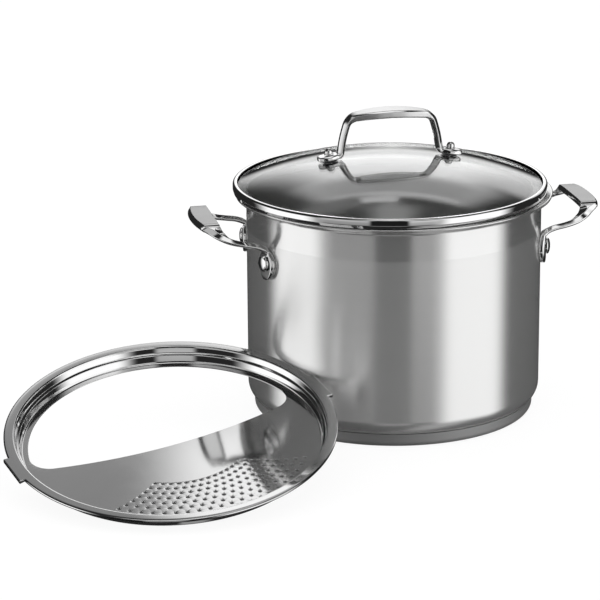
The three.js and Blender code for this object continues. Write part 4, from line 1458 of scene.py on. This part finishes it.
# %% [markdown]
# ## Studio
#
# Each card is its middle heading and half width, its softness at the sides, its bottom and top
# height, its softness there, and its shade, all but the last in degrees. Heading 0 is where the
# camera is and 90 is the picture's right, and a later card covers the earlier ones.
#
# Camera rays, rays that have only passed through glass, and diffuse rays see plain white, so the
# backdrop is white and the studio is a matter of reflections alone. Reflections see the cards,
# those from inside the pot too.

# %% Studio
CARD_SOCKETS = ("Middle", "Half Width", "Side Softness", "Bottom", "Top", "End Softness", "Shade")
CARDS = [
    # The room is dark.
    (0, 180, 5, -90, 90, 5, 0.02),
    # The table, low down at the right, in front and behind.
    (48, 24, 9, -85, -38, 6, 0.30),
    (0, 15, 3, -33, -25, 2.5, 0.5),
    (180, 12, 3, -62, -34, 4, 0.7),
    # Cards behind the object, which the glass, the lid's band and the insert mirror.
    (160, 16, 4, 14, 28, 3, 0.72),
    (179, 15, 4, 33, 45.3, 1.8, 1.0),
    (179, 15, 4, 31, 42.6, 1.0, 0.6),
    (179, 14, 5, 7, 33, 3, 1.0),
    (179, 9, 4, 14, 31, 2.5, 1.5),
    (-160, 14, 3, 44, 50, 2, 0.24),
    (182.5, 4.1, 1.2, 45.4, 48.2, 0.5, 1.05),
    (179, 6, 4, 50, 66, 3, 0.55),
    # The soft boxes at the left and at the right.
    (-81, 25, 11, -34, 14, 6, 1.15),
    (66, 28, 9, -34, 45, 8, 1.15),
    # Dimmer panels on both sides of the camera, and the dark gap between them.
    (-33, 20, 4, -15, 40, 5, 0.5),
    (25, 12, 4, -15, 40, 5, 0.65),
    (0, 13.5, 1.5, -22, 30, 3, 0.012),
    # The ceiling.
    (20, 70, 12, 64, 90, 5, 1.0),
]
CAMERA_BEARING = math.atan2(CAMERA_PLACE.y, CAMERA_PLACE.x)
WHITE = (1, 1, 1, 1)

world = bpy.data.worlds.new("studio")
scene.world = world
world.use_nodes = True
world.node_tree.nodes.clear()
b = Builder(world.node_tree)
direction = b.add("ShaderNodeTexCoord").outputs["Generated"]
toward = b.add("ShaderNodeSeparateXYZ", {"Vector": direction}).outputs
turn = b.math("SUBTRACT", b.math("ARCTAN2", toward["Y"], toward["X"]), CAMERA_BEARING)
heading = b.math("MULTIPLY", turn, DEGREES)
height = b.math("MULTIPLY", b.math("ARCSINE", toward["Z"]), DEGREES)
studio = WHITE
for values in CARDS:
    sources = dict(zip(CARD_SOCKETS, values), Below=studio, Heading=heading, Height=height)
    studio = b.add("ShaderNodeGroup", sources, node_tree=card).outputs["Color"]
rays = b.add("ShaderNodeLightPath").outputs
before_metal = b.math("LESS_THAN", rays["Glossy Depth"], 0.5)
plain = b.math("MULTIPLY", rays["Is Transmission Ray"], before_metal)
plain = b.math("MAXIMUM", plain, rays["Is Camera Ray"])
plain = b.math("MAXIMUM", plain, rays["Is Diffuse Ray"])
background = b.add("ShaderNodeBackground", {"Color": b.mix(plain, studio, WHITE), "Strength": 1.0})
b.add("ShaderNodeOutputWorld", {"Surface": background.outputs[0]})
print("studio cards:", len(CARDS))

# %% [markdown]
# ## Floor
#
# The floor is a wide white sheet. To the camera it is mostly plain white light with a share of
# real diffuse paper, so that the object keeps a faint contact shadow. Reflections look past it to
# the cards, whose lower ends stand for the floor's brightness.
#
# Under the perforated half of the insert the floor is dark, so that the holes are dark as in the
# photograph. Ambient occlusion finds what is covered. Its limits are low, so that the pot's wall
# alone doesn't count, and the dark patch goes away when the insert is lifted.

# %% Floor
FLOOR_HALF = 12.0
FLOOR_PAPER_SHARE = 0.12
PAPER = (0.95, 0.95, 0.95, 1)
SHADE_MIDDLE = (-0.187, -0.155, 0)
SHADE_TURN = (0, 0, math.radians(35.8))
SHADE_SIZE = (0.0963, 0.0612, 1)
SHADE_RIM = 1.10
COVER_DISTANCE = 0.12
COVER_SAMPLES = 32
OPEN_FROM = 0.58
COVERED_FROM = 0.48
OPEN_GLOW = 1.04
COVERED_GLOW = 0.05

floor_mesh = bpy.data.meshes.new("floor")
corners = ((-1, -1), (1, -1), (1, 1), (-1, 1))
floor_mesh.from_pydata([(x * FLOOR_HALF, y * FLOOR_HALF, 0) for x, y in corners], [], [(0, 1, 2, 3)])
floor = bpy.data.objects.new("floor", floor_mesh)
scene.collection.objects.link(floor)
floor.visible_glossy = False
floor_finish = bpy.data.materials.new("white_paper")
floor_finish.use_nodes = True
floor_finish.node_tree.nodes.clear()
b = Builder(floor_finish.node_tree)
place = b.add("ShaderNodeTexCoord").outputs["Object"]
patch = b.add(
    "ShaderNodeMapping",
    {"Vector": place, "Location": SHADE_MIDDLE, "Rotation": SHADE_TURN, "Scale": SHADE_SIZE},
    vector_type="TEXTURE",
)
reach = b.add("ShaderNodeVectorMath", {0: patch.outputs[0]}, operation="LENGTH").outputs["Value"]
open_sky = b.add(
    "ShaderNodeAmbientOcclusion", {"Distance": COVER_DISTANCE}, samples=COVER_SAMPLES
).outputs["AO"]
covered = b.math("MULTIPLY", b.remap(open_sky, OPEN_FROM, COVERED_FROM), b.remap(reach, SHADE_RIM, 1.0))
glow = b.remap(covered, 0.0, 1.0, OPEN_GLOW, COVERED_GLOW)
lit = b.add("ShaderNodeEmission", {"Color": WHITE, "Strength": glow})
paper = b.add("ShaderNodeBsdfDiffuse", {"Color": PAPER})
rays = b.add("ShaderNodeLightPath").outputs
seen = b.math("MAXIMUM", rays["Is Camera Ray"], rays["Is Transmission Ray"])
share = b.math("MULTIPLY", seen, 1 - FLOOR_PAPER_SHARE)
both = b.add("ShaderNodeMixShader", {0: share, 1: paper.outputs[0], 2: lit.outputs[0]})
b.add("ShaderNodeOutputMaterial", {"Surface": both.outputs[0]})
floor_mesh.materials.append(floor_finish)
print("floor:", 2 * FLOOR_HALF, "m wide")

# %% [markdown]
# ## View transform
#
# The colours are shown as they are, without a filmic curve.

# %% Finish
scene.view_settings.view_transform = "Standard"
